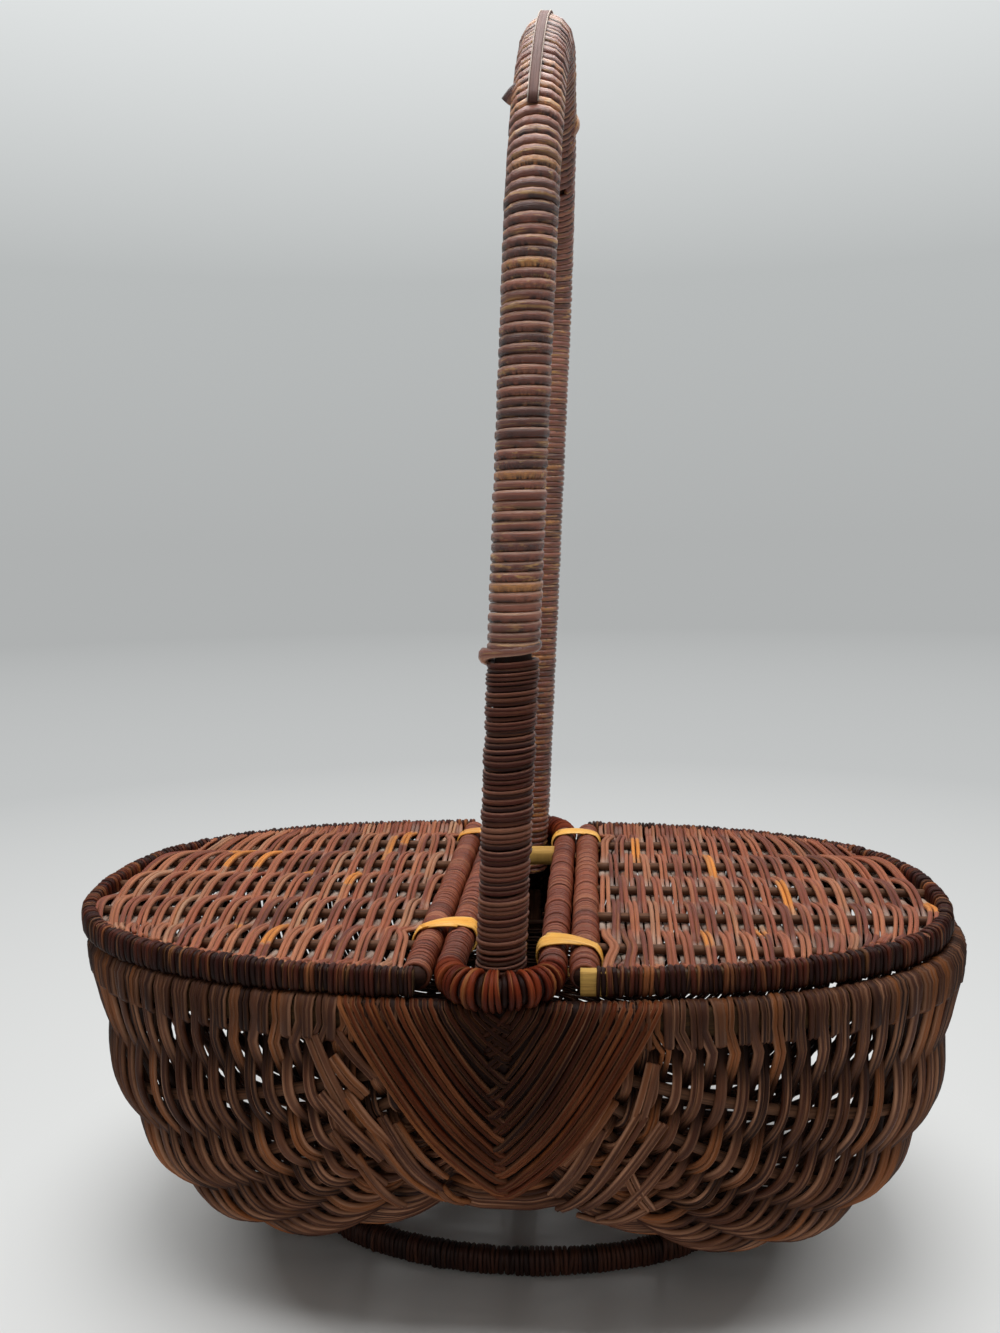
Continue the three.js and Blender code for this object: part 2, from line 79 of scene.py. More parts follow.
# Sizes that the part's form has as well
OVAL_POWER = 2.5
DEPTH_POWER = 3.4
LOBE_POWER = 2.25
LOBE_X = 105.0
LOBE_SHARE = 2 / 3
RIM_THICKNESS = 4.5
LEG_HALF = 100.0
HANDLE_RADIUS = 10.2
HANDLE_TOP = 542.0
HANDLE_LEAN = math.radians(3.1)
HANDLE_CORE = 14.0
JOINT_Z = 283.0
COIL_PITCH = 3.7
LOOP_BAR_X = 20.0
LOOP_BAR_RADIUS = 6.0
FOOT_BAR_WIDTH = 10.0
LID_RIM_THICKNESS = 6.0
LID_RIB_SPACING = 38.0
LID_RIB_COUNT = 5
CROSS_BAR_Y = 60.0

# Canes laid side by side
CANE_WANDER = 0.05  # sideways, as a share of the weaver's width
CANE_LIFT = 0.3  # in or out of the weaver's face

# Weave of the body
BODY_STEPS = 6  # rib spaces from rim to keel
BODY_RIB_RADIUS = 2.2
RIB_DEPTH = 4.7  # middle of the ribs inside the wall's outer face
ROW_PITCH = 4.6  # from weaver to weaver along the rim
ROW_WIDTH = 5.7  # of the widest weaver
ROW_LEAST_WIDTH = 2.4
ROW_THICKNESS = 2.6
ROW_SWAY = 0.006  # off the weaver's line, in radians
ROW_STEP = 4.8  # from point to point of a weaver
KEEL_RISE = 1.6  # how much further off weavers pass the keel than a rib
KEEL_SPAN = 0.5  # rib spaces over which they do
RIM_PAINTED_SHADE = 0.5  # depth that the turns over the rim count as, for painted shade under the lid
PALE_ROWS = 0.06  # share of weavers in the palest tone
PAIRED_ROWS = 0.75  # share of weavers laid as two canes
FIRST_ROW = 40.0  # from the middle of the front to the first weaver, along the rim

# Weave of the lids
LID_ROW_PITCH = 4.1
LID_ROW_WIDTH = 4.6
LID_ROW_THICKNESS = 2.3
LID_RIB_RADIUS = 2.0
LID_TUCK = 9.0  # length over which a weaver's end rises to the rim
LID_GOLD_ROWS = 0.14  # share of weavers with a golden stretch
LID_GOLD_HALF = 17.0  # half the length of such a stretch
TIE_ROOM = 3.2  # how far the ties push the first weaver from the rod
TIE_ROOM_ROWS = 4  # weavers that the ties push
TIE_ROOM_SPAN = 8.0


def power(value, exponent):
    return np.sign(value) * np.abs(value) ** exponent


def unit(vectors):
    return vectors / np.maximum(np.linalg.norm(vectors, axis=-1, keepdims=True), 1e-9)


def held(values):
    """Values kept from 0 to 1."""
    return np.clip(values, 0, 1)


def columns(x, y, z):
    """Points from their coordinates, any of which may be one number for all points."""
    return np.stack(np.broadcast_arrays(x, y, z), -1)


def run_length(points):
    """Distance along a path at each of its points."""
    return np.concatenate([[0], np.cumsum(np.linalg.norm(np.diff(points, axis=0), axis=1))])


def spread(values, run, at):
    """Values given along a path, read at other distances along it."""
    values = np.asarray(values, float)
    if values.ndim == 0:
        return np.full(len(at), float(values))
    if values.ndim == 1:
        return np.interp(at, run, values)
    return np.stack([np.interp(at, run, column) for column in values.T], -1)


def smooth(points, step, *others):
    """A curve through the points with steps of about the given length, and other values spread along it."""
    points = np.asarray(points, float)
    padded = np.vstack([2 * points[0] - points[1], points, 2 * points[-1] - points[-2]])
    curve = []
    marks = []
    for i, (a, b, c, d) in enumerate(zip(padded[:-3], padded[1:-2], padded[2:-1], padded[3:])):
        count = max(1, int(round(np.linalg.norm(c - b) / step)))
        t = (np.arange(count) / count)[:, None]
        curve.append(0.5 * (2 * b + (c - a) * t + (2 * a - 5 * b + 4 * c - d) * t ** 2
                            + (3 * b - a - 3 * c + d) * t ** 3))
        marks.append(i + t[:, 0])
    curve = np.vstack(curve + [points[-1:]])
    marks = np.concatenate(marks + [[len(points) - 1]])
    return [curve] + [spread(other, np.arange(len(points)), marks) for other in others]


def add_object(name, data):
    thing = bpy.data.objects.new(name, data)
    bpy.context.scene.collection.objects.link(thing)
    return thing


class Strands:
    """Flat or round strands gathered into one mesh. For the materials each vertex keeps how far along
    its strand it is, where it is across it, the strand's own tone, and how deep in the weave or how far
    underneath it lies, which the materials paint as shade or cover with dust."""

    def __init__(self):
        self.verts = []
        self.faces = []
        self.marks = []
        self.depths = []
        self.count = 0

    def add(self, points, normals, width, thickness, tone=None, sides=8, flat=0.75, start=None, deep=0.0):
        points = np.asarray(points, float)
        number = len(points)
        normals = np.broadcast_to(normals, points.shape)
        width = np.broadcast_to(width, number)
        thickness = np.broadcast_to(thickness, number)
        along = unit(np.gradient(points, axis=0))
        across = unit(np.cross(along, normals))
        out = np.cross(across, along)
        angle = 2 * pi * (np.arange(sides) + 0.5) / sides
        x = power(cos(angle), flat)
        y = power(sin(angle), flat)
        rings = (points[:, None]
                 + across[:, None] * (x[:, None] * width[:, None, None] / 2)
                 + out[:, None] * (y[:, None] * thickness[:, None, None] / 2))
        start = rng.uniform(0, 2000) if start is None else start
        tone = rng.uniform() if tone is None else tone
        tones = np.broadcast_to(tone, number)[:, None]
        self.verts.append(rings.reshape(-1, 3))
        self.marks.append(columns((run_length(points) + start)[:, None], x, tones).reshape(-1, 3))
        if np.ndim(deep) < 2:
            deep = np.broadcast_to(deep, number)[:, None]
        self.depths.append(np.broadcast_to(deep, (number, sides)).ravel())
        first = self.count + np.arange(number - 1)[:, None] * sides
        k = np.arange(sides)[None]
        j = (k + 1) % sides
        quads = np.stack([first + k, first + j, first + sides + j, first + sides + k], -1)
        self.faces += quads.reshape(-1, 4).tolist()
        last = self.count + (number - 1) * sides
        self.faces.append(list(range(self.count + sides - 1, self.count - 1, -1)))
        self.faces.append(list(range(last, last + sides)))
        self.count += number * sides
        return self

    def rod(self, points, normals, diameter, sides=8):
        """Adds a round strand."""
        return self.add(points, normals, diameter, diameter, sides=sides, flat=1.0)

    def build(self, name, material, slot, *nodes):
        """Makes a piece that stands for nodes of the part. It rides on the lid it is named after, or else on
        the basket."""
        mesh = bpy.data.meshes.new(name)
        mesh.from_pydata((np.concatenate(self.verts) * MM).tolist(), [], self.faces)
        strand = mesh.attributes.new("strand", "FLOAT_VECTOR", "POINT")
        strand.data.foreach_set("vector", np.concatenate(self.marks).astype(np.float32).ravel())
        deep = mesh.attributes.new("deep", "FLOAT", "POINT")
        deep.data.foreach_set("value", np.concatenate(self.depths).astype(np.float32))
        mesh.polygons.foreach_set("use_smooth", np.ones(len(mesh.polygons), bool))
        mesh.materials.append(material)
        mesh.update()
        piece = add_object(name, mesh)
        body = "_".join(name.split("_")[:2]) if name.startswith("lid_") else "basket"
        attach(piece, body)
        if nodes:
            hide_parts(*nodes)


def side_by_side(strands, points, normals, width, thickness, tone, count=2, deep=0.0, vary=0.09):
    """A weaver laid as a few canes side by side, none of them quite straight."""
    across = unit(np.cross(np.gradient(points, axis=0), normals))
    run = run_length(points)
    for i in range(count):
        wander = CANE_WANDER * sin(run / rng.uniform(14, 30) + rng.uniform(0, 2 * pi))
        offset = ((i + 0.5) / count - 0.5 + wander) * width
        lift = rng.uniform(-CANE_LIFT, CANE_LIFT)
        strands.add(points + across * offset[:, None] + normals * lift, normals,
                    width / count * rng.uniform(0.9, 1.06), thickness * rng.uniform(0.85, 1.1),
                    tone + rng.normal(0, vary), sides=6, flat=0.95, deep=deep)


# Materials

WHITE = (1, 1, 1, 1)
GRIME_SHADE = (0.6, 0.56, 0.53, 1)
STAIN_SHADE = (0.55, 0.42, 0.32, 1)
SHADE_SHARE = 0.8
DUST_COLOR = (180, 170, 158)
DARK = (26, 12, 8)


def new_material(name):
    material = bpy.data.materials.new(name)
    material.use_nodes = True
    tree = material.node_tree
    return material, tree, tree.nodes["Principled BSDF"]


def add_node(tree, kind, inputs=None, **settings):
    """A shader node. An input is a number, a colour, or another node's output. The functions after this one
    work in the tree of an output that they are given."""
    node = tree.nodes.new(f"ShaderNode{kind}")
    for key, value in settings.items():
        setattr(node, key, value)
    for key, value in (inputs or {}).items():
        if hasattr(value, "is_output"):
            tree.links.new(value, node.inputs[key])
        else:
            node.inputs[key].default_value = value
    return node


def srgb(red, green, blue):
    """A colour given in screen values from 0 to 255, in the shader's linear values."""
    levels = [c / 255 for c in (red, green, blue)]
    return [c / 12.92 if c <= 0.04045 else ((c + 0.055) / 1.055) ** 2.4 for c in levels] + [1.0]


def ramp(factor, *stops):
    node = add_node(factor.id_data, "ValToRGB", {"Fac": factor})
    elements = node.color_ramp.elements
    while len(elements) < len(stops):
        elements.new(1.0)
    for element, (position, color) in zip(elements, stops):
        element.position = position
        element.color = color
    return node.outputs["Color"]


def between(value, low, high, low_out=0.0, high_out=1.0):
    """Takes a value from one range to another and holds it there."""
    inputs = {0: value, 1: low, 2: high, 3: low_out, 4: high_out}
    return add_node(value.id_data, "MapRange", inputs).outputs[0]


def mix(factor, a, b, blend="MIX"):
    inputs = {0: factor, 6: a, 7: b}
    return add_node(a.id_data, "Mix", inputs, data_type="RGBA", blend_type=blend).outputs[2]


def reckon(operation, *values):
    return add_node(values[0].id_data, "Math", dict(enumerate(values)), operation=operation).outputs[0]


def noise(vector, scale, detail=3.0, roughness=0.55):
    """Noise over a vector that is first scaled in each of its three directions: for a strand's vector these
    are along it, across it, and from tone to tone."""
    tree = vector.id_data
    scaled = add_node(tree, "VectorMath", {0: vector, 1: scale}, operation="MULTIPLY")
    settings = {"Vector": scaled.outputs[0], "Scale": 1.0, "Detail": detail, "Roughness": roughness}
    return add_node(tree, "TexNoise", settings).outputs["Fac"]


def finish_surface(shader, color, rough, gloss, height, strength, distance):
    """Gives a shader its colour, roughness and gloss, and a bump from a height."""
    tree = shader.id_data
    tree.links.new(color, shader.inputs["Base Color"])
    tree.links.new(rough, shader.inputs["Roughness"])
    shader.inputs["Specular IOR Level"].default_value = gloss
    inputs = {"Height": height, "Strength": strength, "Distance": distance}
    tree.links.new(add_node(tree, "Bump", inputs).outputs[0], shader.inputs["Normal"])


def cane_material(name, tones, worn, edge, dark=DARK, wear=0.4, edges=0.8, rough=(0.45, 0.7), bump=0.5,
                  dust=0.0, painted_shade=0.0, gloss=0.22, painted_highlight=None, painted_edge_span=(0.5, 0.88)):
    """Stained cane. Each strand has its own tone, with stain streaks and fibres along it, edges painted paler
    as a highlight or darker as shade between canes, rubbed patches where the stain has gone, dust where it
    lies deep in the weave, and painted shade where it lies deep or underneath. A painted highlight colour is
    for the upper edge alone, and then the edge colour is painted shade on the lower side."""
    material, tree, shader = new_material(name)
    strand = add_node(tree, "Attribute", attribute_name="strand").outputs["Vector"]
    parts = add_node(tree, "SeparateXYZ", {0: strand})
    place = add_node(tree, "TexCoord").outputs["Object"]
    drift = noise(strand, (0.011, 0.25, 31.0), 2.0)
    tone = reckon("MULTIPLY_ADD", drift, 0.6, parts.outputs["Z"])
    tone = reckon("SUBTRACT", tone, 0.3)
    stops = [(i / (len(tones) - 1), srgb(*color)) for i, color in enumerate(tones)]
    color = ramp(tone, *stops)
    streaks = noise(strand, (0.035, 4.0, 53.0), 4.0, 0.65)
    color = mix(between(streaks, 0.46, 0.74, 0.0, 0.7), color, srgb(*dark))
    rubbed = noise(strand, (0.03, 0.9, 17.0), 4.0, 0.6)
    color = mix(between(rubbed, 0.55, 0.66, 0.0, wear), color, srgb(*worn))
    across = parts.outputs["Y"]
    if painted_highlight:
        # Painted highlight on the upper edge, as light falls from above.
        color = mix(between(across, -0.3, -0.85, 0.0, 0.75), color, srgb(*painted_highlight))
        # The edge colour then paints shade on the lower side.
        side = between(across, -0.05, 0.75)
    else:
        # Painted edges at both sides: a highlight where the edge colour is pale, shade between canes where it
        # is dark.
        side = between(reckon("ABSOLUTE", across), *painted_edge_span)
    breaks = between(noise(strand, (0.02, 0.3, 71.0), 2.0), 0.35, 0.65)
    painted_edge_share = reckon("MULTIPLY", reckon("MULTIPLY", side, breaks), edges)
    color = mix(painted_edge_share, color, srgb(*edge))
    grime = noise(place, (26.0, 26.0, 26.0), 5.0, 0.6)
    color = mix(SHADE_SHARE, color, ramp(grime, (0.42, WHITE), (0.68, GRIME_SHADE)), "MULTIPLY")
    deep = add_node(tree, "Attribute", attribute_name="deep").outputs["Fac"]
    # Painted shade where the deep attribute marks a recess or an underside.
    if painted_shade:
        color = mix(reckon("MULTIPLY", deep, painted_shade), color, srgb(*dark))
    if dust:
        patches = between(noise(place, (90.0, 90.0, 90.0), 4.0, 0.6), 0.34, 0.54)
        settled = reckon("MULTIPLY", reckon("MULTIPLY", deep, patches), dust)
        color = mix(settled, color, srgb(*DUST_COLOR))
    rough = between(streaks, 0.3, 0.75, *rough)
    fibres = noise(strand, (0.06, 6.0, 23.0), 5.0, 0.7)
    finish_surface(shader, color, rough, gloss, fibres, bump, 0.0007)
    return material


def wood_material(name, pale, deep, rough=(0.55, 0.8)):
    """Bare wood with grain and stains along the strand."""
    material, tree, shader = new_material(name)
    strand = add_node(tree, "Attribute", attribute_name="strand").outputs["Vector"]
    grain = noise(strand, (0.03, 4.0, 19.0), 5.0, 0.7)
    color = ramp(grain, (0.32, srgb(*deep)), (0.62, srgb(*pale)))
    stain = noise(strand, (0.012, 0.5, 7.0), 3.0)
    color = mix(SHADE_SHARE, color, ramp(stain, (0.5, WHITE), (0.75, STAIN_SHADE)), "MULTIPLY")
    finish_surface(shader, color, between(grain, 0.3, 0.7, *rough), 0.2, grain, 0.35, 0.0005)
    return material


body_cane = cane_material(
    "body_cane", ((48, 25, 17), (72, 39, 26), (94, 55, 38), (112, 71, 50), (154, 90, 46)),
    worn=(150, 94, 54), edge=(184, 134, 104), edges=1.0, rough=(0.36, 0.62), painted_shade=0.85, gloss=0.12,
    painted_edge_span=(0.36, 0.72))
fan_cane = cane_material(
    "fan_cane", ((38, 14, 7), (62, 25, 12), (84, 37, 17), (106, 51, 26), (140, 82, 48)),
    worn=(150, 92, 48), edge=(164, 120, 90), wear=0.35, edges=0.55, rough=(0.3, 0.55), painted_shade=0.9, gloss=0.07,
    painted_edge_span=(0.4, 0.78))
lid_cane = cane_material(
    "lid_cane",
    ((106, 48, 34), (144, 74, 51), (168, 95, 65), (178, 113, 79), (180, 136, 107), (224, 140, 58)),
    worn=(186, 124, 72), edge=(172, 122, 94), edges=0.6, rough=(0.36, 0.62), dust=0.8, gloss=0.3)
rim_cane = cane_material(
    "rim_cane", ((42, 14, 9), (64, 24, 15), (90, 39, 24), (144, 84, 46)),
    worn=(172, 116, 70), edge=(36, 16, 12), wear=0.5, rough=(0.26, 0.5), painted_shade=0.9, gloss=0.12)
rod_cane = cane_material(
    "rod_cane", ((104, 46, 29), (132, 63, 40), (150, 79, 52), (168, 104, 74)),
    worn=(186, 128, 88), edge=(70, 32, 22), rough=(0.24, 0.46), painted_shade=0.6, gloss=0.3)
handle_cane = cane_material(
    "handle_cane", ((86, 42, 33), (122, 66, 50), (146, 82, 62), (162, 98, 74), (196, 132, 72)),
    worn=(204, 154, 88), edge=(38, 18, 13), wear=0.8, edges=0.95, rough=(0.14, 0.34), gloss=0.5,
    painted_highlight=(206, 164, 142))
lower_cane = cane_material(
    "lower_cane", ((52, 21, 16), (78, 34, 25), (102, 50, 37), (142, 92, 70)),
    worn=(160, 106, 70), edge=(30, 13, 10), edges=0.95, rough=(0.24, 0.46), gloss=0.14, painted_highlight=(168, 118, 98))
splint_cane = cane_material(
    "splint_cane", ((84, 54, 48), (108, 74, 66), (216, 200, 186)),
    worn=(128, 92, 80), edge=(62, 38, 34), dark=(58, 34, 30), wear=0.3, edges=0.5, rough=(0.5, 0.7),
    gloss=0.2)
loop_cane = cane_material(
    "loop_cane", ((70, 22, 11), (108, 40, 20), (142, 62, 33), (180, 112, 58)),
    worn=(180, 124, 72), edge=(30, 13, 9), wear=0.5, edges=0.7, rough=(0.26, 0.5), painted_shade=0.9, gloss=0.08)
foot_cane = cane_material(
    "foot_cane", ((40, 19, 14), (62, 32, 22), (86, 48, 33)),
    worn=(110, 70, 44), edge=(30, 15, 11), dark=(20, 10, 7), wear=0.3, edges=0.7)
golden_cane = cane_material(
    "golden_cane", ((230, 148, 40), (246, 170, 54), (254, 196, 88)),
    worn=(254, 210, 116), edge=(254, 214, 134), dark=(214, 130, 34), edges=0.5, rough=(0.3, 0.5), bump=0.25,
    gloss=0.4)
bare_wood = wood_material("bare_wood", (200, 160, 86), (146, 108, 52))
rim_wood = wood_material("rim_wood", (92, 66, 38), (54, 36, 22))
rib_wood = wood_material("rib_wood", (112, 76, 54), (56, 34, 23))
core_wood = wood_material("core_wood", (54, 29, 19), (30, 15, 10))


# Form of the body, as in the part


def oval(half_length, half_width, angle):
    bend = 2 / OVAL_POWER
    return half_length * power(cos(angle), bend), half_width * power(sin(angle), bend)


def oval_chord(half_length, half_width, x):
    """How far an oval reaches in y at x."""
    return half_width * np.maximum(1 - (np.abs(x) / half_length) ** OVAL_POWER, 0) ** (1 / OVAL_POWER)


def profile(v, depth):
    """The wall in the plane y = 0, from the rim (v = 0) to the keel (v = 1)."""
    bottom = LOBE_BOTTOM + depth
    angle = pi / 2 * np.minimum(v / LOBE_SHARE, 1)
    share = np.maximum(v - LOBE_SHARE, 0) / (1 - LOBE_SHARE)
    end = RIM_HALF_LENGTH - depth
    x = LOBE_X + (end - LOBE_X) * power(cos(angle), 2 / LOBE_POWER) - (LOBE_X - KEEL_EDGE) * share
    z = WALL_TOP - (WALL_TOP - bottom) * sin(angle) ** (2 / LOBE_POWER)
    return x, z + (KEEL_HEIGHT + depth - bottom) * (1 - cos(pi * share)) / 2


def wall_point(angle, v, depth):
    """A point of the right wall. The angle goes from the front (-90 degrees) to the back (90 degrees)."""
    x, z = profile(v, depth)
    draw = np.abs(cos(angle))
    return columns(KEEL_EDGE + (x - KEEL_EDGE) * draw ** (2 / OVAL_POWER),
                   (RIM_HALF_WIDTH - depth) * power(sin(angle), 2 / OVAL_POWER),
                   WALL_TOP + (z - WALL_TOP) * draw ** (2 / DEPTH_POWER))


def wall_normal(angle, v, depth):
    small = 1e-3
    onward = wall_point(angle + small, v, depth) - wall_point(angle - small, v, depth)
    below = wall_point(angle, np.minimum(v + small, 1), depth)
    above = wall_point(angle, np.maximum(v - small, 0), depth)
    return unit(np.cross(below - above, onward))


def rim_frame(angle):
    """Middle of the rim stave in plan at an angle, with its outward and onward directions."""
    half_length = RIM_HALF_LENGTH - RIM_THICKNESS / 2
    half_width = RIM_HALF_WIDTH - RIM_THICKNESS / 2
    middle = array([*oval(half_length, half_width, angle), 0.0])
    ahead = array([*oval(half_length, half_width, angle + 1e-3), 0.0])
    onward = unit(ahead - middle)
    return middle, np.cross(onward, UP), onward


# Body


def row_angles():
    """Places of the weavers from front to back, an even pitch apart along the rim."""
    fine = linspace(-pi / 2, pi / 2, 4001)
    run = run_length(np.stack(oval(RIM_HALF_LENGTH, RIM_HALF_WIDTH, fine), -1))
    count = int((run[-1] - 2 * FIRST_ROW) / ROW_PITCH)
    return np.interp(linspace(FIRST_ROW, run[-1] - FIRST_ROW, count), run, fine)


def rim_turn(angle, outside):
    """A weaver's turn over the rim stave on the right: up one face, over the top and down the other."""
    middle, outward, onward = rim_frame(angle)
    gap = RIM_THICKNESS / 2 + ROW_THICKNESS / 2 + 0.2
    first = 1 if outside else -1
    # How far out from the stave's middle, and how high
    section = [(gap, RIM_BOTTOM + 4), (gap + 0.2, RIM_TOP - 2.5), (gap * 0.62, RIM_TOP + 0.9),
               (0.0, RIM_TOP + ROW_THICKNESS / 2 + 0.4), (-gap * 0.62, RIM_TOP + 0.9),
               (-gap - 0.2, RIM_TOP - 2.5), (-gap, RIM_BOTTOM + 2.5), (-gap + 0.5, RIM_BOTTOM - 1.4),
               (-gap + 2.4, RIM_BOTTOM - 3.2), (0.8, RIM_BOTTOM - 3.4)]
    slant = rng.uniform(0.2, 0.7) * ROW_PITCH
    points = []
    normals = []
    for i, (out, z) in enumerate(section):
        share = i / (len(section) - 1)
        points.append(middle + outward * (first * out) + onward * slant * share + UP * z)
        lean_out = np.clip(out / gap, -1, 1)
        above = 1 if z > RIM_BOTTOM else -1
        normals.append(outward * first * lean_out + UP * above * (1 - abs(lean_out)))
    return array(points), array(normals)


def body_weave():
    """Weavers from the right rim down under the body, over or under the keel and up to the left rim."""
    weave = Strands()
    angles = row_angles()
    v = linspace(0.03, 1, 64)
    grid = np.stack([wall_point(a, v, RIB_DEPTH) for a in angles])
    gaps = np.linalg.norm(np.gradient(grid, axis=0), axis=-1)
    crossing = BODY_STEPS * v
    keel_rise = KEEL_RISE * np.exp(-((crossing - BODY_STEPS) / KEEL_SPAN) ** 2)
    rise = BODY_RIB_RADIUS + ROW_THICKNESS / 2 + 0.1 + keel_rise
    for row, angle in enumerate(angles):
        sway = sum(rng.normal(0, ROW_SWAY) * sin((i + 1) * pi * v) for i in range(4))
        at = angle + sway * np.clip(1 - abs(angle) / 1.45, 0.2, 1)
        middle = wall_point(at, v, RIB_DEPTH)
        normal = wall_normal(at, v, RIB_DEPTH)
        wave = cos(pi * (crossing + row))
        right = middle + normal * (rise * wave)[:, None]
        start, start_normals = rim_turn(angle, row % 2 == 0)
        stop, stop_normals = rim_turn(angle, row % 2 == 0)
        points = np.vstack([start[::-1], right, (right * MIRROR)[-2::-1], stop * MIRROR])
        normals = np.vstack([start_normals[::-1], normal, (normal * MIRROR)[-2::-1], stop_normals * MIRROR])
        wide = np.clip(gaps[row] * (1.1 + 0.3 * held(-wave)), ROW_LEAST_WIDTH, ROW_WIDTH)
        wide = wide * rng.uniform(0.86, 1.08)
        ends = np.ones(len(start))
        width = np.concatenate([ends * ROW_PITCH, wide, wide[-2::-1], ends * ROW_PITCH])
        # Under-strands and the turns over the rim are marked deep, for painted shade in the recesses and
        # under the lid.
        under = held(0.55 - 0.75 * wave)
        deep = np.concatenate([ends * RIM_PAINTED_SHADE, under, under[-2::-1], ends * RIM_PAINTED_SHADE])
        curve, facing, width, deep = smooth(points, ROW_STEP, normals, width, deep)
        tone = 0.95 if rng.uniform() < PALE_ROWS else rng.uniform(0, 0.75)
        count = 1 + (rng.uniform() < PAIRED_ROWS)
        side_by_side(weave, curve, unit(facing), width, ROW_THICKNESS, tone, count, deep)
    weave.build("body_weave", body_cane, "body_cane", "body_weave_left", "body_weave_right")


def body_ribs():
    """Ribs from the front lashing round each lobe to the back lashing."""
    angles = linspace(-1.46, 1.46, 60)
    for side, flip in (("right", AS_IS), ("left", MIRROR)):
        for step in range(1, BODY_STEPS):
            v = step / BODY_STEPS
            points = wall_point(angles, v, RIB_DEPTH) * flip
            rib = Strands().rod(points, wall_normal(angles, v, RIB_DEPTH) * flip, 2 * BODY_RIB_RADIUS)
            node = f"body_rib_{side}_{step}"
            rib.build(f"{node}_rod", rib_wood, "body_cane", node)


def rim_and_keel():
    frames = [rim_frame(angle) for angle in linspace(0, 2 * pi, 181)]
    middles = array([f[0] for f in frames]) + UP * (RIM_BOTTOM + RIM_TOP) / 2
    outs = array([f[1] for f in frames])
    stave = Strands().add(middles, outs, RIM_TOP - RIM_BOTTOM - 0.6, RIM_THICKNESS - 0.4, sides=12, flat=0.35)
    stave.build("rim_stave", rim_wood, "bare_wood", "rim_hoop")
    bow = linspace(-1.53, 1.53, 61)
    middle_plane = array([0.0, 1.0, 1.0])
    points = wall_point(bow, 1.0, RIB_DEPTH) * middle_plane
    normals = unit(wall_normal(bow, 1.0, RIB_DEPTH) * middle_plane)
    keel = Strands().add(points, normals, width=10.0, thickness=5.0, sides=12, flat=0.8)
    keel.build("keel_rod", rib_wood, "body_cane", "keel")


# Windings


TURN_STEPS = 14  # points in a turn
PAIR_STEP = 0.12  # how far a pair's turns stand above and below their middle
PAIR_TONE = 0.08


def wind(strands, path, side, lift, radius, pitch, thick, seen):
    """Adds cane wound along a path, with turns that fill the gap from turn to turn. side and lift are the
    directions across the path. Each turn has its own tone, and every second one stands prouder, as two canes
    wound together do. seen is the part of a turn, from its start, at which these steps are whole."""
    run = run_length(path)
    at = linspace(0, run[-1], int(run[-1] / pitch * TURN_STEPS) + 1)
    angle = 2 * pi * at / pitch - pi / 2
    across = unit(spread(side, run, at))
    up = unit(spread(lift, run, at))
    normals = unit(across * cos(angle)[:, None] + up * sin(angle)[:, None])
    points = spread(path, run, at) + normals * (radius - thick / 2)
    gaps = np.linalg.norm(points[TURN_STEPS:] - points[:-TURN_STEPS], axis=1)
    gaps = np.concatenate([gaps, np.full(TURN_STEPS, gaps[-1])])
    turns = np.arange(len(points)) / TURN_STEPS
    whole = np.arange(int(turns[-1]) + 3)
    pair = np.where(whole % 2 == 0, 1.0, -1.0)
    uneven = PAIR_STEP * pair + np.clip(rng.normal(0, 0.12, len(whole)), -0.25, 0.25)
    tones = np.clip(0.42 + PAIR_TONE * pair + rng.normal(0, 0.17, len(whole)), 0, 0.85)
    tones[rng.uniform(size=len(whole)) < 0.04] = 1.0
    points = points + normals * np.interp(turns + seen, whole, uneven)[:, None]
    tone = np.interp(turns + seen, whole, tones)
    strands.add(points, normals, gaps * 1.02, thick, tone, start=0)


def wraps(strands, path, side, half_side, half_lift=None, lift=UP, thick=1.9, wide=(1.6, 2.6), square=1.0,
          turn=AS_IS, tones=(0.0, 1.0), tilt=0.0, group=(2, 4), groove=0.45, vary=0.08):
    """Adds separate turns of fine cane round a path, in groups that each have their own tone and end with a
    turn laid lower by the groove and painted darker in it as shade. The lower half of each turn is marked
    deep, for painted shade under it. half_side and half_lift are how far the outside of the cane stands off
    in the directions side and lift, alike if one is given. tilt is how much further back along the path a
    turn is at its side."""
    half_lift = half_side if half_lift is None else half_lift
    run = run_length(path)
    side = np.broadcast_to(side, path.shape)
    lift = np.broadcast_to(lift, path.shape)
    angle = linspace(-0.5, 1.54, 18) * pi
    # The lower half of each turn is marked deep, for painted shade under it.
    deep = held(0.2 - 0.8 * sin(angle))
    start = 0.0
    left = 0
    while start < run[-1] - wide[0]:
        if left == 0:
            left = rng.integers(group[0], group[1] + 1)
            group_tone = rng.uniform(*tones)
            group_proud = rng.uniform(-0.3, 0.2) - thick / 2
        left -= 1
        tone = group_tone + rng.normal(0, vary)
        proud = group_proud
        shade = deep
        # The last turn of a group: a darker tone and more painted shade, as shade in the groove.
        if left == 0:
            tone -= 0.9 * groove
            proud -= groove
            shade = held(deep + groove)
        width = rng.uniform(*wide)
        slant = rng.normal(0, 0.3) * sin(angle) - tilt * cos(angle)
        edges = []
        for place in (start, start + width):
            at = np.clip(place + slant, 0, run[-1])
            across = unit(spread(side, run, at))
            up = unit(spread(lift, run, at))
            out = (spread(half_side, run, at) + proud) * power(cos(angle), square)
            rise = (spread(half_lift, run, at) + proud) * power(sin(angle), square)
            edges.append(spread(path, run, at) + across * out[:, None] + up * rise[:, None])
        normals = unit(across * cos(angle)[:, None] + up * sin(angle)[:, None])
        middle = (edges[0] + edges[1]) / 2
        strands.add(middle * turn, normals * turn, np.linalg.norm(edges[1] - edges[0], axis=1), thick, tone,
                    sides=6, flat=0.95, deep=shade)
        start += width


# Handle


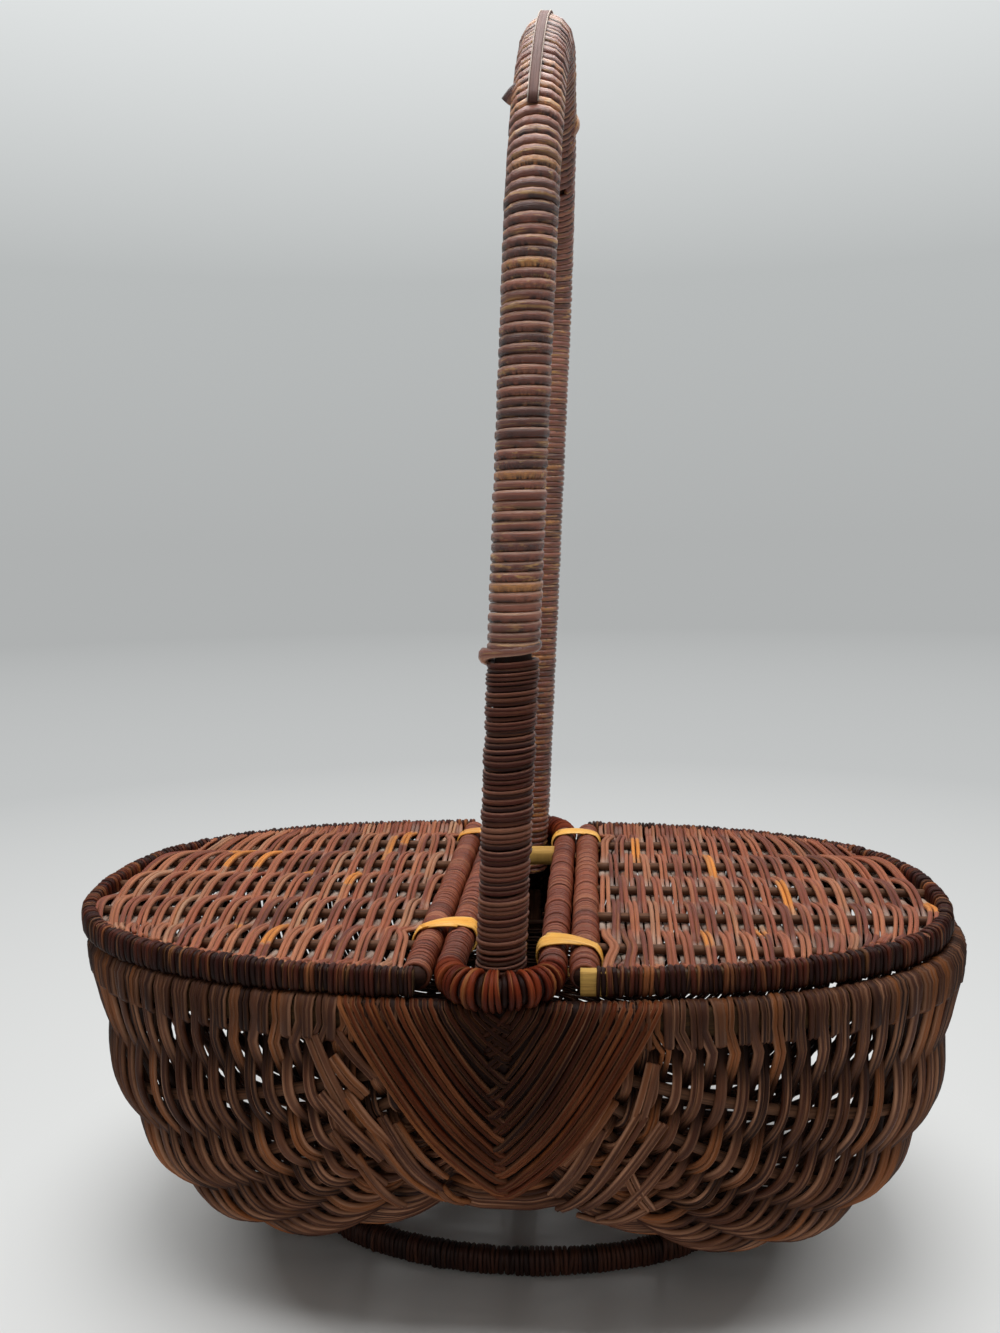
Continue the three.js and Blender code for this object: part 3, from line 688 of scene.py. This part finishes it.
ARCH_Z = HANDLE_TOP - HANDLE_RADIUS - LEG_HALF
HANDLE_FOOT = RIM_BOTTOM + 2
BACK_PITCH = 2.95  # finer cane down the back leg
BACK_WINDING_Y = 70.0  # where the winding turns finer, past the top
LEFTWARD = array([-1.0, 0.0, 0.0])


def lean(points):
    """Tips handle points from upright to the handle's lean."""
    x, y, z = np.moveaxis(np.asarray(points, float), -1, 0)
    z = z - LOOP_Z
    upright, aside = math.cos(HANDLE_LEAN), math.sin(HANDLE_LEAN)
    return columns(x * upright + z * aside, y, z * upright - x * aside + LOOP_Z)


def lean_direction(vectors):
    return lean(vectors + UP * LOOP_Z) - UP * LOOP_Z


def arch_out(angle):
    """Direction away from the middle of the bow: angle 0 is the front leg, half a turn the back leg."""
    return columns(0, -cos(angle), sin(angle))


def arch_point(angle, radius):
    return arch_out(angle) * radius + UP * ARCH_Z


def handle_path(bottom_front, bottom_back):
    """Upright centre line from the front leg over the top to the back leg, with its outward direction."""
    front = np.arange(bottom_front, ARCH_Z, 6.0)
    back = np.append(np.arange(ARCH_Z, bottom_back, -6.0)[1:], bottom_back)
    bow = linspace(0, pi, 61)
    outs = arch_out(np.concatenate([0 * front, bow, 0 * back + pi]))
    heights = np.concatenate([front, 0 * bow + ARCH_Z, back])
    return outs * LEG_HALF + UP * heights[:, None], outs


def handle():
    bind = Strands()
    path, out = handle_path(JOINT_Z, HANDLE_FOOT)
    back = int(np.argmax(path[:, 1] > BACK_WINDING_Y))
    for part, pitch, thick, seen in ((slice(0, back + 1), COIL_PITCH, 3.0, 0.5),
                                     (slice(back, None), BACK_PITCH, 2.6, 0.0)):
        side = lean_direction(np.broadcast_to(LEFTWARD, path[part].shape))
        wind(bind, lean(path[part]), side, lean_direction(out[part]), HANDLE_RADIUS, pitch, thick, seen)
    bind.build("handle_binding", handle_cane, "stained_cane", "handle_wrap_front_coil",
               "handle_wrap_front_upper", "handle_wrap_top", "handle_wrap_back")
    path, out = handle_path(RIM_BOTTOM + 1, RIM_BOTTOM + 1)
    core = Strands().rod(lean(path), lean_direction(out), HANDLE_CORE, sides=14)
    core.build("handle_core_rod", core_wood, "bare_wood", "handle_core")
    handle_lower()
    handle_splint()
    handle_ends()


def handle_lower():
    """Finer cane below the joint."""
    lower = Strands()
    path = columns(0, -LEG_HALF, linspace(HANDLE_FOOT, JOINT_Z - 2.5, 60))
    wraps(lower, lean(path), lean_direction(LEFTWARD), HANDLE_RADIUS, lift=lean_direction(arch_out(0)),
          thick=2.2, wide=(1.5, 2.4), tones=(0.2, 0.9), tilt=1.2)
    lower.build("handle_binding_lower", lower_cane, "stained_cane", "handle_wrap_front_lower")


def handle_splint():
    """The splint along the top, with its two pale edges."""
    angles = np.radians(linspace(25, 140, 47))
    outs = lean_direction(arch_out(angles))
    strip = lean(arch_point(angles, LEG_HALF + HANDLE_RADIUS + 0.3) + LEFTWARD)
    splint = Strands().add(strip, outs, width=4.0, thickness=1.6, tone=0.3, flat=0.5)
    for edge in (-1.9, 1.9):
        line = strip + outs * 0.6 + lean_direction(array([edge, 0.0, 0.0]))
        splint.add(line, outs, width=0.5, thickness=0.8, tone=0.9, flat=1.0, sides=6)
    splint.build("handle_splint_strip", splint_cane, "stained_cane", "handle_splint")


def handle_ends():
    """The fat turned-back end at the joint and two cut ends."""
    degrees = linspace(-60, 222, 48)
    turn = np.radians(degrees)
    bulge = np.exp(-((degrees - 184) / 30) ** 2)
    ring = columns(cos(turn), -sin(turn), 0)
    rise = 4.0 - 6.0 * held((degrees + 60) / 244) - 5.0 * held((degrees - 160) / 62) ** 2
    stand = HANDLE_RADIUS - 1.0 + 2.0 * bulge
    loop_end = array([0, -LEG_HALF, JOINT_Z]) + ring * stand[:, None] + rise[:, None] * UP
    ends = Strands().add(lean(loop_end), lean_direction(ring), 3.4 + 2.4 * bulge, 2.8 + 1.6 * bulge,
                         tone=0.55, flat=0.9)
    wedge = arch_point(math.radians(33), LEG_HALF)
    bump = arch_point(math.radians(116), LEG_HALF)
    cuts = (([wedge + (4.0 - HANDLE_RADIUS, -3.0, 3.5), wedge + (0.8 - HANDLE_RADIUS, -1.5, 1.2),
              wedge + (-1.8 - HANDLE_RADIUS, 0.0, -2.0)], 3.0, 4.4),
            ([bump + (HANDLE_RADIUS - 2.6, 0.0, 4.5), bump + (HANDLE_RADIUS - 0.6, 0.0, 0.0),
              bump + (HANDLE_RADIUS - 2.6, 0.0, -4.5)], 4.6, 4.6))
    for stub, first_width, last_width in cuts:
        path, = smooth(stub, 1.0)
        width = linspace(first_width, last_width, len(path))
        ends.add(lean(path), array([0, -1.0, 0.4]), width, thickness=3.0, tone=0.0)
    ends.build("handle_cut_ends", handle_cane, "stained_cane")


# Centre loop and foot ring


LOOP_STEPS = 33  # points in a stretch of the loop


def loop_stretches():
    """The loop's centre line in four stretches, a rounded end and a long bar by turns, each with its outward
    directions and its thickness."""
    straight = LOOP_HALF_LENGTH - LOOP_BAR_X
    angle = linspace(0, pi, LOOP_STEPS)
    share = linspace(1, -1, LOOP_STEPS)
    level = np.zeros(LOOP_STEPS)
    stretches = []
    for end in (1, -1):
        out = columns(end * cos(angle), end * sin(angle), 0)
        radii = LOOP_BAR_RADIUS + (LOOP_END_RADIUS - LOOP_BAR_RADIUS) * sin(angle)
        stretches.append((out * LOOP_BAR_X + array([0, end * straight, LOOP_Z]), out, radii))
        out = columns(level - end, 0, 0)
        line = out * LOOP_BAR_X + columns(0, end * straight * share, LOOP_Z)
        stretches.append((line, out, level + LOOP_BAR_RADIUS))
    return stretches


def centre_loop():
    ends = Strands()
    bars = Strands()
    core = Strands()
    for i, (points, outs, radii) in enumerate(loop_stretches()):
        if i % 2 == 0:
            wraps(ends, points, outs, radii, thick=3.0, wide=(1.7, 2.3), tones=(0.3, 0.6), group=(3, 4),
                  groove=1.6)
            inset = 3.4
        else:
            wraps(bars, points, outs, radii, thick=1.8, wide=(1.3, 2.1), tones=(0.2, 0.6), groove=0.25)
            inset = 1.7
        core.rod(points, outs, 2 * (radii - inset), sides=12)
    ends.build("loop_end_binding", loop_cane, "stained_cane", "centre_loop")
    bars.build("loop_bar_binding", rod_cane, "stained_cane")
    core.build("loop_core", core_wood, "stained_cane")
    half = LOOP_BAR_X - LOOP_BAR_RADIUS + 1.0
    run = linspace(-half, half, 16)
    bar = Strands().add(columns(run, CROSS_BAR_Y, LOOP_Z), UP, 9.4 + 0.25 * sin(run), thickness=9.0,
                        sides=14, flat=0.6)
    bar.build("cross_bar_peg", bare_wood, "bare_wood", "cross_bar")


def foot_ring():
    half_length = FOOT_HALF_LENGTH - FOOT_BAR_WIDTH / 2
    half_width = FOOT_HALF_WIDTH - FOOT_BAR_WIDTH / 2
    middle_z = FOOT_HEIGHT / 2

    def ring(angle):
        across, along = cos(angle), sin(angle)
        out = unit(columns(half_width * across, half_length * along, 0))
        return columns(half_length * across, half_width * along, middle_z), out

    points, outs = ring(linspace(0, 2 * pi, 200))
    bind = Strands()
    wraps(bind, points, outs, FOOT_BAR_WIDTH / 2, middle_z, square=0.7, groove=0.15)
    for place in (-0.78, -2.3, 0.78, 2.3):
        line, out = ring(place + linspace(-0.07, 0.07, 12))
        wraps(bind, line, out, FOOT_BAR_WIDTH / 2 + 0.8, middle_z, wide=(1.8, 2.6), square=0.7)
    bind.build("foot_binding", foot_cane, "body_cane", "foot_ring")
    core = Strands().add(points, outs, FOOT_HEIGHT - 3.2, FOOT_BAR_WIDTH - 3.0, sides=12, flat=0.8)
    core.build("foot_core", core_wood, "body_cane")


# Lashings


FAN_TIP_Z = 68.0
FAN_TOP_Z = 121.0
FAN_TILT = 40.0  # how far the V is tipped down at its tip, in degrees
FAN_COUNT = 8  # strands a side
FAN_START = 20.0  # from the middle to the innermost strand, along the rim
FAN_SPREAD = 39.0  # from there to the outermost strand
FAN_PAST = 5.0  # how far a strand goes past the middle
FAN_STEP = 3.5  # from point to point of a strand
FAN_BACK_COUNT = 16  # strands a side that close the V behind the others, painted dark as shade

# Loose and cut ends beside the V, each from x and z to x and z in the front view
STRAYS = ((-63, 138, -48, 120), (-65, 127, -52, 112), (-73, 135, -60, 106), (-51, 99, -24, 63),
          (-60, 114, -42, 92), (-70, 112, -46, 86), (-40, 102, -22, 77), (-46, 104, -24, 70),
          (-44, 98, -25, 70), (-57, 87, -40, 62), (-25, 72, -16, 58), (-66, 96, -46, 74),
          (43, 114, 24, 86), (38, 102, 20, 68), (54, 108, 22, 56), (62, 104, 32, 62), (56, 66, 30, 50),
          (48, 84, 57, 66), (66, 92, 38, 56), (58, 128, 52, 104))


def front_y(x, z):
    """The front of the body at a place in the front view: the rim above, the wall below it."""
    across = max(abs(x), 2 * KEEL_EDGE)
    if z >= WALL_TOP - 0.5:
        return -oval_chord(RIM_HALF_LENGTH, RIM_HALF_WIDTH, across)
    low, high = 0.001, 1.0
    for _ in range(30):
        v = (low + high) / 2
        share = min((WALL_TOP - z) / (WALL_TOP - profile(v, 0)[1]), 1)
        spot = wall_point(-math.acos(share ** (DEPTH_POWER / 2)), v, 0)
        if spot[0] > across:
            low = v
        else:
            high = v
    return float(spot[1])


def on_front(x, z):
    """Points of the body's front, and the lashings' outward direction there: level at the rim, tipped down
    at the tip."""
    tilt = np.radians(FAN_TILT) * held((RIM_TOP - z) / (RIM_TOP - FAN_TIP_Z))
    points = array([[a, front_y(a, b), b] for a, b in zip(x, z)])
    return points, columns(0, -cos(tilt), -sin(tilt))


def fan_strand(start_x, end_z, lift):
    """One strand of a V lashing on the right: over the rim, steeply down, then flatter to the middle."""
    share = linspace(0, 1, 18)
    top = RIM_TOP - 1.0
    x = start_x * (1 - share) - FAN_PAST * share
    z = top - (top - end_z) * (1 - (1 - share) ** 1.5)
    points, out = on_front(x, z)
    tuck = 2.4 * held((share - 0.93) / 0.07) - 0.8 * np.exp(-((share - 0.87) / 0.08) ** 2)
    points = points + out * (2.0 + lift - tuck)[:, None]
    front = points[0][1]
    over = [[start_x + 2.0, front + 7.5, RIM_TOP - 5], [start_x + 1.6, front + 6.8, RIM_TOP + 0.3],
            [start_x + 1.0, front + 3.6, RIM_TOP + 1.6], [start_x + 0.5, front + 0.7, RIM_TOP + 0.4]]
    over_normals = [[0, 0.9, 0.4], [0, 0.5, 0.9], [0, 0, 1], [0, -0.7, 0.7]]
    curve, facing = smooth(np.vstack([over, points[1:]]), FAN_STEP, np.vstack([over_normals, out[1:]]))
    return curve, unit(facing)


def lashing(name, turn, node):
    """A V of strands from both sides, laid over each other by turns at the middle, with ones behind them
    painted dark as shade and a few short ones under the loop, and the loose ends beside it. Strands towards
    the middle and top are marked deep, for painted shade under the loop."""
    fan = Strands()
    drop = FAN_TOP_Z - FAN_TIP_Z
    for flip, shift in ((MIRROR * turn, 0.0), (turn, 0.5)):
        for i in range(FAN_BACK_COUNT):
            share = (i + 0.5) / FAN_BACK_COUNT
            start_x = 3 + (FAN_START + FAN_SPREAD - 4) * share
            curve, facing = fan_strand(start_x, 146 - (143 - FAN_TIP_Z) * share, -0.9)
            # Painted dark all through, as shade behind the V.
            fan.add(curve * flip, facing * flip, width=6.0, thickness=1.6, tone=0.0, sides=6, deep=1.0)
        laid = [(5 + 5 * i, 142 - 6 * (i + shift), 0.0, 0.2) for i in range(3)]
        for i in range(FAN_COUNT):
            low = ((i + shift) / (FAN_COUNT - 0.5)) ** 0.85
            start_x = FAN_START + FAN_SPREAD * i / (FAN_COUNT - 1) + rng.normal(0, 0.5)
            tone = 0.3 + 0.4 * i / (FAN_COUNT - 1) + rng.normal(0, 0.18)
            laid.append((start_x, FAN_TOP_Z - drop * low, rng.uniform(0.1, 1.1), tone))
        for start_x, end_z, lift, tone in laid:
            curve, facing = fan_strand(start_x, end_z, lift)
            width = np.full(len(curve), 4.4 * rng.uniform(0.88, 1.05))
            width[-3:] *= (0.95, 0.8, 0.45)
            # Painted shade towards the middle and top, under the loop.
            inward = held((26 - curve[:, 0]) / 30)
            deep = 0.8 * inward * held((curve[:, 2] - 84) / 40)
            side_by_side(fan, curve * flip, facing * flip, width, thickness=3.0, tone=tone, deep=deep,
                         vary=0.15)
    ends = Strands()
    steps = linspace(0, 1, 7)
    for x, z, end_x, end_z in STRAYS:
        path, out = on_front(x + (end_x - x) * steps, z + (end_z - z) * steps)
        lift = 0.3 + 1.3 * sin(pi * held(steps * 1.1))
        curve, facing = smooth(path + out * lift[:, None], FAN_STEP, out)
        width = np.full(len(curve), 5.4 * rng.uniform(0.8, 1.15))
        tone = rng.uniform(0.4, 0.95)
        # A little painted shade on the loose ends.
        side_by_side(ends, curve * turn, unit(facing) * turn, width, thickness=2.4, tone=tone, deep=0.1)
    fan.build(name, fan_cane, "stained_cane", node)
    ends.build(f"{name}_ends", body_cane, "body_cane")


# Ties


TIE_SLANT = {"front": 4.2, "back": 0.6}  # how far forward a tie leans at the rod, and back at the loop
TIE_ADVANCE = 2.2  # from a tie's start to its end, along the rod


def ties():
    """Flat golden cane, two turns round a loop bar and a hinge rod together."""
    share = linspace(0, 1, 90)
    angle = (0.4 + 4.3 * share) * pi
    half = (ROD_X - LOOP_BAR_X) / 2
    inner = ROD_RADIUS + 0.8 + 0.3 * share
    for side, direction in (("left", -1), ("right", 1)):
        for end in ("front", "back"):
            node = f"tie_{side}_{end}"
            low, high = node_box(node)
            x = direction * (ROD_X + LOOP_BAR_X) / 2 + half * np.clip(1.6 * cos(angle), -1, 1)
            slant = TIE_SLANT[end] * (0.3 + 1.2 * share) * direction * cos(angle)
            y = (low[1] + high[1]) / 2 - slant + TIE_ADVANCE * (share - 0.5)
            points = columns(x + inner * cos(angle), y, LOOP_Z + inner * sin(angle))
            normals = columns(cos(angle), 0, sin(angle))
            band = Strands().add(points, normals, width=7.2, thickness=0.9, flat=0.5)
            band.build(f"cane_{node}", golden_cane, "golden_cane", node)


# Lids


BARE_STAVE = {"left": 0.0, "right": 3.8}  # length of the rim stave that shows at its front end
ROD_PATCH = {"left": (34, 60), "right": (-70, -38)}  # thicker stretch of a rod's binding


def lid(side):
    """One lid, made as the right one and turned about for the left."""
    turn = HALF_TURN if side == "left" else AS_IS
    body = f"lid_{side}"
    mid_reach = LID_REACH[side] - LID_RIM_THICKNESS / 2
    mid_width = LID_HALF_WIDTH[side] - LID_RIM_THICKNESS / 2
    start = math.acos((ROD_X / mid_reach) ** (OVAL_POWER / 2))
    middle = columns(*oval(mid_reach, mid_width, linspace(-start, start, 161)), LOOP_Z)
    outs = unit(np.cross(np.gradient(middle, axis=0), UP))
    bound = run_length(middle) >= BARE_STAVE[side]
    bind = Strands()
    wraps(bind, middle[bound], outs[bound], LID_RIM_THICKNESS / 2 + 0.8, ROD_RADIUS + 0.2, thick=2.0,
          wide=(1.5, 2.6), square=0.62, turn=turn, tones=(0.0, 0.7), vary=0.2)
    bind.build(f"{body}_rim_binding", rim_cane, "lid_cane", f"{body}_rim")
    stave = Strands().add(middle * turn, outs * turn, 2 * ROD_RADIUS - 2.6, LID_RIM_THICKNESS - 1.6, sides=12,
                          flat=0.3)
    stave.build(f"{body}_stave", rim_wood, "bare_wood")
    if side == "right":
        stub = np.vstack([middle[:1] - array([[1.5, 0.0, 0.0]]), middle[~bound], middle[bound][:2]])
        stave_end = Strands().add(stub, outs[:1], 2 * ROD_RADIUS - 2.0, LID_RIM_THICKNESS - 1.0, sides=12,
                                  flat=0.3)
        stave_end.build("lid_right_stave_end", bare_wood, "bare_wood")
    hinge_rod(side, turn, body)
    lid_weave(side, turn, body, mid_reach, mid_width)
    lid_ribs(side, turn, body, mid_reach, mid_width)


def hinge_rod(side, turn, body):
    low, high = node_box(f"{body}_hinge_rod")
    run = linspace(low[1] + 1, high[1] - 1, 60)
    line = columns(ROD_X, run, LOOP_Z)
    right = array([1.0, 0.0, 0.0])
    bind = Strands()
    wraps(bind, line, right, ROD_RADIUS, wide=(1.4, 2.2), turn=turn, tones=(0.35, 0.9), groove=0.25)
    patch_start, patch_end = ROD_PATCH[side]
    patch = (run > patch_start) & (run < patch_end)
    wraps(bind, line[patch], right, ROD_RADIUS + 0.3, wide=(1.6, 2.4), turn=turn, groove=0.2)
    bind.build(f"{body}_rod_binding", rod_cane, "lid_cane", f"{body}_hinge_rod")
    core = Strands().rod(line * turn, right * turn, 2 * ROD_RADIUS - 3.4, sides=10)
    core.build(f"{body}_rod_core", core_wood, "lid_cane")


LID_MIDDLE_Z = LOOP_Z + 1.0
UPPER_SIDE = (1, 1, 1, 0, 0, 0)  # of a cane's six edges


def lid_weave(side, turn, body, reach, half_width):
    """Weavers from front to back over and under the ribs, tucked in at the rim at both ends."""
    weave = Strands()
    tie_spots = [(sum(node_box(f"tie_{side}_{end}")) / 2 * turn)[1] for end in ("front", "back")]
    first = ROD_X + ROD_RADIUS + 3.0
    last = reach - 6.0
    rise = LID_RIB_RADIUS + LID_ROW_THICKNESS / 2
    for row, place in enumerate(np.arange(first, last, LID_ROW_PITCH)):
        curl = ((place - first) / (last - first)) ** 3
        end = float(oval_chord(reach - 1, half_width - 1, place * (1 - 0.1 * curl)))
        y = linspace(-end, end, 64)
        arc = (1 - np.abs(y / (half_width * 1.12)) ** OVAL_POWER) ** (1 / OVAL_POWER)
        x = place * (1 - curl + curl * arc) + rng.uniform(0.1, 0.9) * sin(y / 31 + row * 1.7)
        pushed = sum(np.exp(-((y - spot) / TIE_ROOM_SPAN) ** 2) for spot in tie_spots)
        x = x + TIE_ROOM * max(1 - row / TIE_ROOM_ROWS, 0) * pushed
        x = np.minimum(x, oval_chord(half_width, reach, y))
        wave = cos(pi * (y / LID_RIB_SPACING + row))
        edge = held((np.abs(y) - (end - LID_TUCK)) / LID_TUCK)
        z = LID_MIDDLE_Z + rise * wave * (1 - edge) + edge * 3.6
        tone = np.full(len(y), rng.uniform(0, 0.65))
        if rng.uniform() < LID_GOLD_ROWS:
            tone[np.abs(y - rng.uniform(-0.8, 0.8) * end) < LID_GOLD_HALF] = 1.1
        under = held(-wave) * (1 - edge)
        width = LID_ROW_WIDTH * rng.uniform(0.85, 1.05) * (1 + 0.6 * under)
        path = columns(x, y, z) * turn
        side_by_side(weave, path, np.broadcast_to(UP, path.shape), width, LID_ROW_THICKNESS, tone,
                     deep=np.outer(under, UPPER_SIDE))
    weave.build(f"{body}_weave", lid_cane, "lid_cane", f"{body}_panel")


def lid_ribs(side, turn, body, reach, half_width):
    for i in range(LID_RIB_COUNT):
        y = LID_RIB_SPACING * (i - (LID_RIB_COUNT - 1) / 2)
        run = linspace(ROD_X + ROD_RADIUS - 1, float(oval_chord(half_width - 1, reach - 1, y)), 30)
        line = columns(run, y + 0.5 * sin(run / 25 + i), LID_MIDDLE_Z)
        number = i + 1 if side == "right" else LID_RIB_COUNT - i
        node = f"{body}_rib_{number}"
        Strands().rod(line * turn, UP, 2 * LID_RIB_RADIUS).build(f"{node}_rod", rib_wood, "lid_cane", node)


# Stage, light and camera

BACKDROP = srgb(175, 177, 177)
BACKDROP_MIDDLE = srgb(184, 187, 187)
BACKDROP_TOP = srgb(230, 233, 233)
FLOOR_NEAR = srgb(226, 227, 226)
FLOOR_FAR = srgb(194, 196, 196)
FLOOR_PALE = srgb(234, 235, 234)
FLOOR_PALEST = srgb(238, 239, 238)
SKY_COLOR = srgb(238, 236, 232)
SKY_STRENGTH = 0.24
LAMP_PLACE = (0.02, -0.05, 1.0)  # in metres
LAMP_AIM = (0, 0, 0.15)
LAMP_SIZE = 0.7
LAMP_WATTS = 10


def seen_directly(tree):
    """One for rays that show a surface as it looks: from the camera, mirrored or passed through."""
    path = add_node(tree, "LightPath").outputs
    seen = reckon("ADD", path["Is Camera Ray"], path["Is Glossy Ray"])
    return reckon("MINIMUM", reckon("ADD", seen, path["Is Transmission Ray"]), 1.0)


def blend(share, first, second, output):
    """Shows two shaders mixed."""
    tree = first.id_data
    both = add_node(tree, "MixShader", {0: share, 1: first.outputs[0], 2: second.outputs[0]})
    tree.links.new(both.outputs[0], tree.nodes[output].inputs["Surface"])


def stage():
    """A pale floor that keeps the basket's shadow close in and passes into the backdrop's colour further out,
    through a glow paler near the basket: a painted pool of light over the shadow's outer part.
    """
    bpy.ops.mesh.primitive_plane_add(size=30)
    floor = bpy.context.object
    floor.name = "floor"
    material, tree, shader = new_material("floor_paper")
    place = add_node(tree, "TexCoord").outputs["Object"]
    grain = noise(place, (3.0, 3.0, 3.0), 3.0)
    color = ramp(grain, (0.3, FLOOR_PALE), (0.7, FLOOR_PALEST))
    tree.links.new(color, shader.inputs["Base Color"])
    shader.inputs["Roughness"].default_value = 0.8
    distance = add_node(tree, "VectorMath", {0: place}, operation="LENGTH").outputs["Value"]
    # From 0.12 m out a glow paints over the floor for rays that see it directly, paler near the basket than
    # further out: a painted pool of light.
    far = between(distance, 0.12, 0.27)
    glow_color = ramp(between(distance, 0.25, 3.5), (0.0, FLOOR_NEAR), (0.26, FLOOR_FAR), (1.0, BACKDROP))
    glow = add_node(tree, "Emission", {"Color": glow_color})
    blend(reckon("MULTIPLY", far, seen_directly(tree)), shader, glow, "Material Output")
    floor.data.materials.append(material)


def lights():
    world = bpy.data.worlds.new("studio")
    bpy.context.scene.world = world
    world.use_nodes = True
    tree = world.node_tree
    light = tree.nodes["Background"]
    light.inputs["Color"].default_value = SKY_COLOR
    light.inputs["Strength"].default_value = SKY_STRENGTH
    direction = add_node(tree, "TexCoord").outputs["Generated"]
    height = add_node(tree, "SeparateXYZ", {0: direction}).outputs["Z"]
    sky = ramp(between(height, 0.0, 0.44), (0.0, BACKDROP), (0.5, BACKDROP_MIDDLE), (1.0, BACKDROP_TOP))
    seen = add_node(tree, "Background", {"Color": sky, "Strength": 1.0})
    blend(seen_directly(tree), light, seen, "World Output")
    lamp = bpy.data.lights.new("top_light", "AREA")
    lamp.energy = LAMP_WATTS
    lamp.size = LAMP_SIZE
    back = unit(array(LAMP_PLACE) - array(LAMP_AIM))
    side = unit(np.cross([0.0, 1.0, 0.01], back))
    axes = Matrix(np.stack([side, np.cross(back, side), back], 1).tolist()).to_4x4()
    add_object("top_light", lamp).matrix_world = Matrix.Translation(LAMP_PLACE) @ axes


# The photograph's camera, in millimetres and degrees, for a frame of 1000 by 1333 pixels
CAMERA_PLACE = (37.3, -509.7, 324.0)
CAMERA_YAW = -4.98
CAMERA_PITCH = -6.56
CAMERA_ROLL = -0.9
FOCAL_PIXELS = 1100.0
FRAME_HEIGHT = 1333.0
SENSOR_HEIGHT = 24.0


def camera():
    data = bpy.data.cameras.new("camera")
    data.sensor_fit = "VERTICAL"
    data.sensor_height = SENSOR_HEIGHT
    data.lens = SENSOR_HEIGHT * FOCAL_PIXELS / FRAME_HEIGHT
    data.clip_start = 0.01
    holder = add_object("camera", data)
    yaw, pitch, roll = (math.radians(angle) for angle in (CAMERA_YAW, CAMERA_PITCH, CAMERA_ROLL))
    turns = ((-yaw, "Z"), (pi / 2 + pitch, "X"), (roll, "Z"))
    first, second, third = (Matrix.Rotation(angle, 4, axis) for angle, axis in turns)
    holder.matrix_world = Matrix.Translation([c * MM for c in CAMERA_PLACE]) @ first @ second @ third
    bpy.context.scene.camera = holder


bpy.context.scene.view_settings.view_transform = "Standard"
camera()
stage()
lights()
rim_and_keel()
body_ribs()
body_weave()
lashing("lashing_fan_front", AS_IS, "lashing_front")
lashing("lashing_fan_back", HALF_TURN, "lashing_back")
foot_ring()
handle()
centre_loop()
ties()
lid("right")
lid("left")
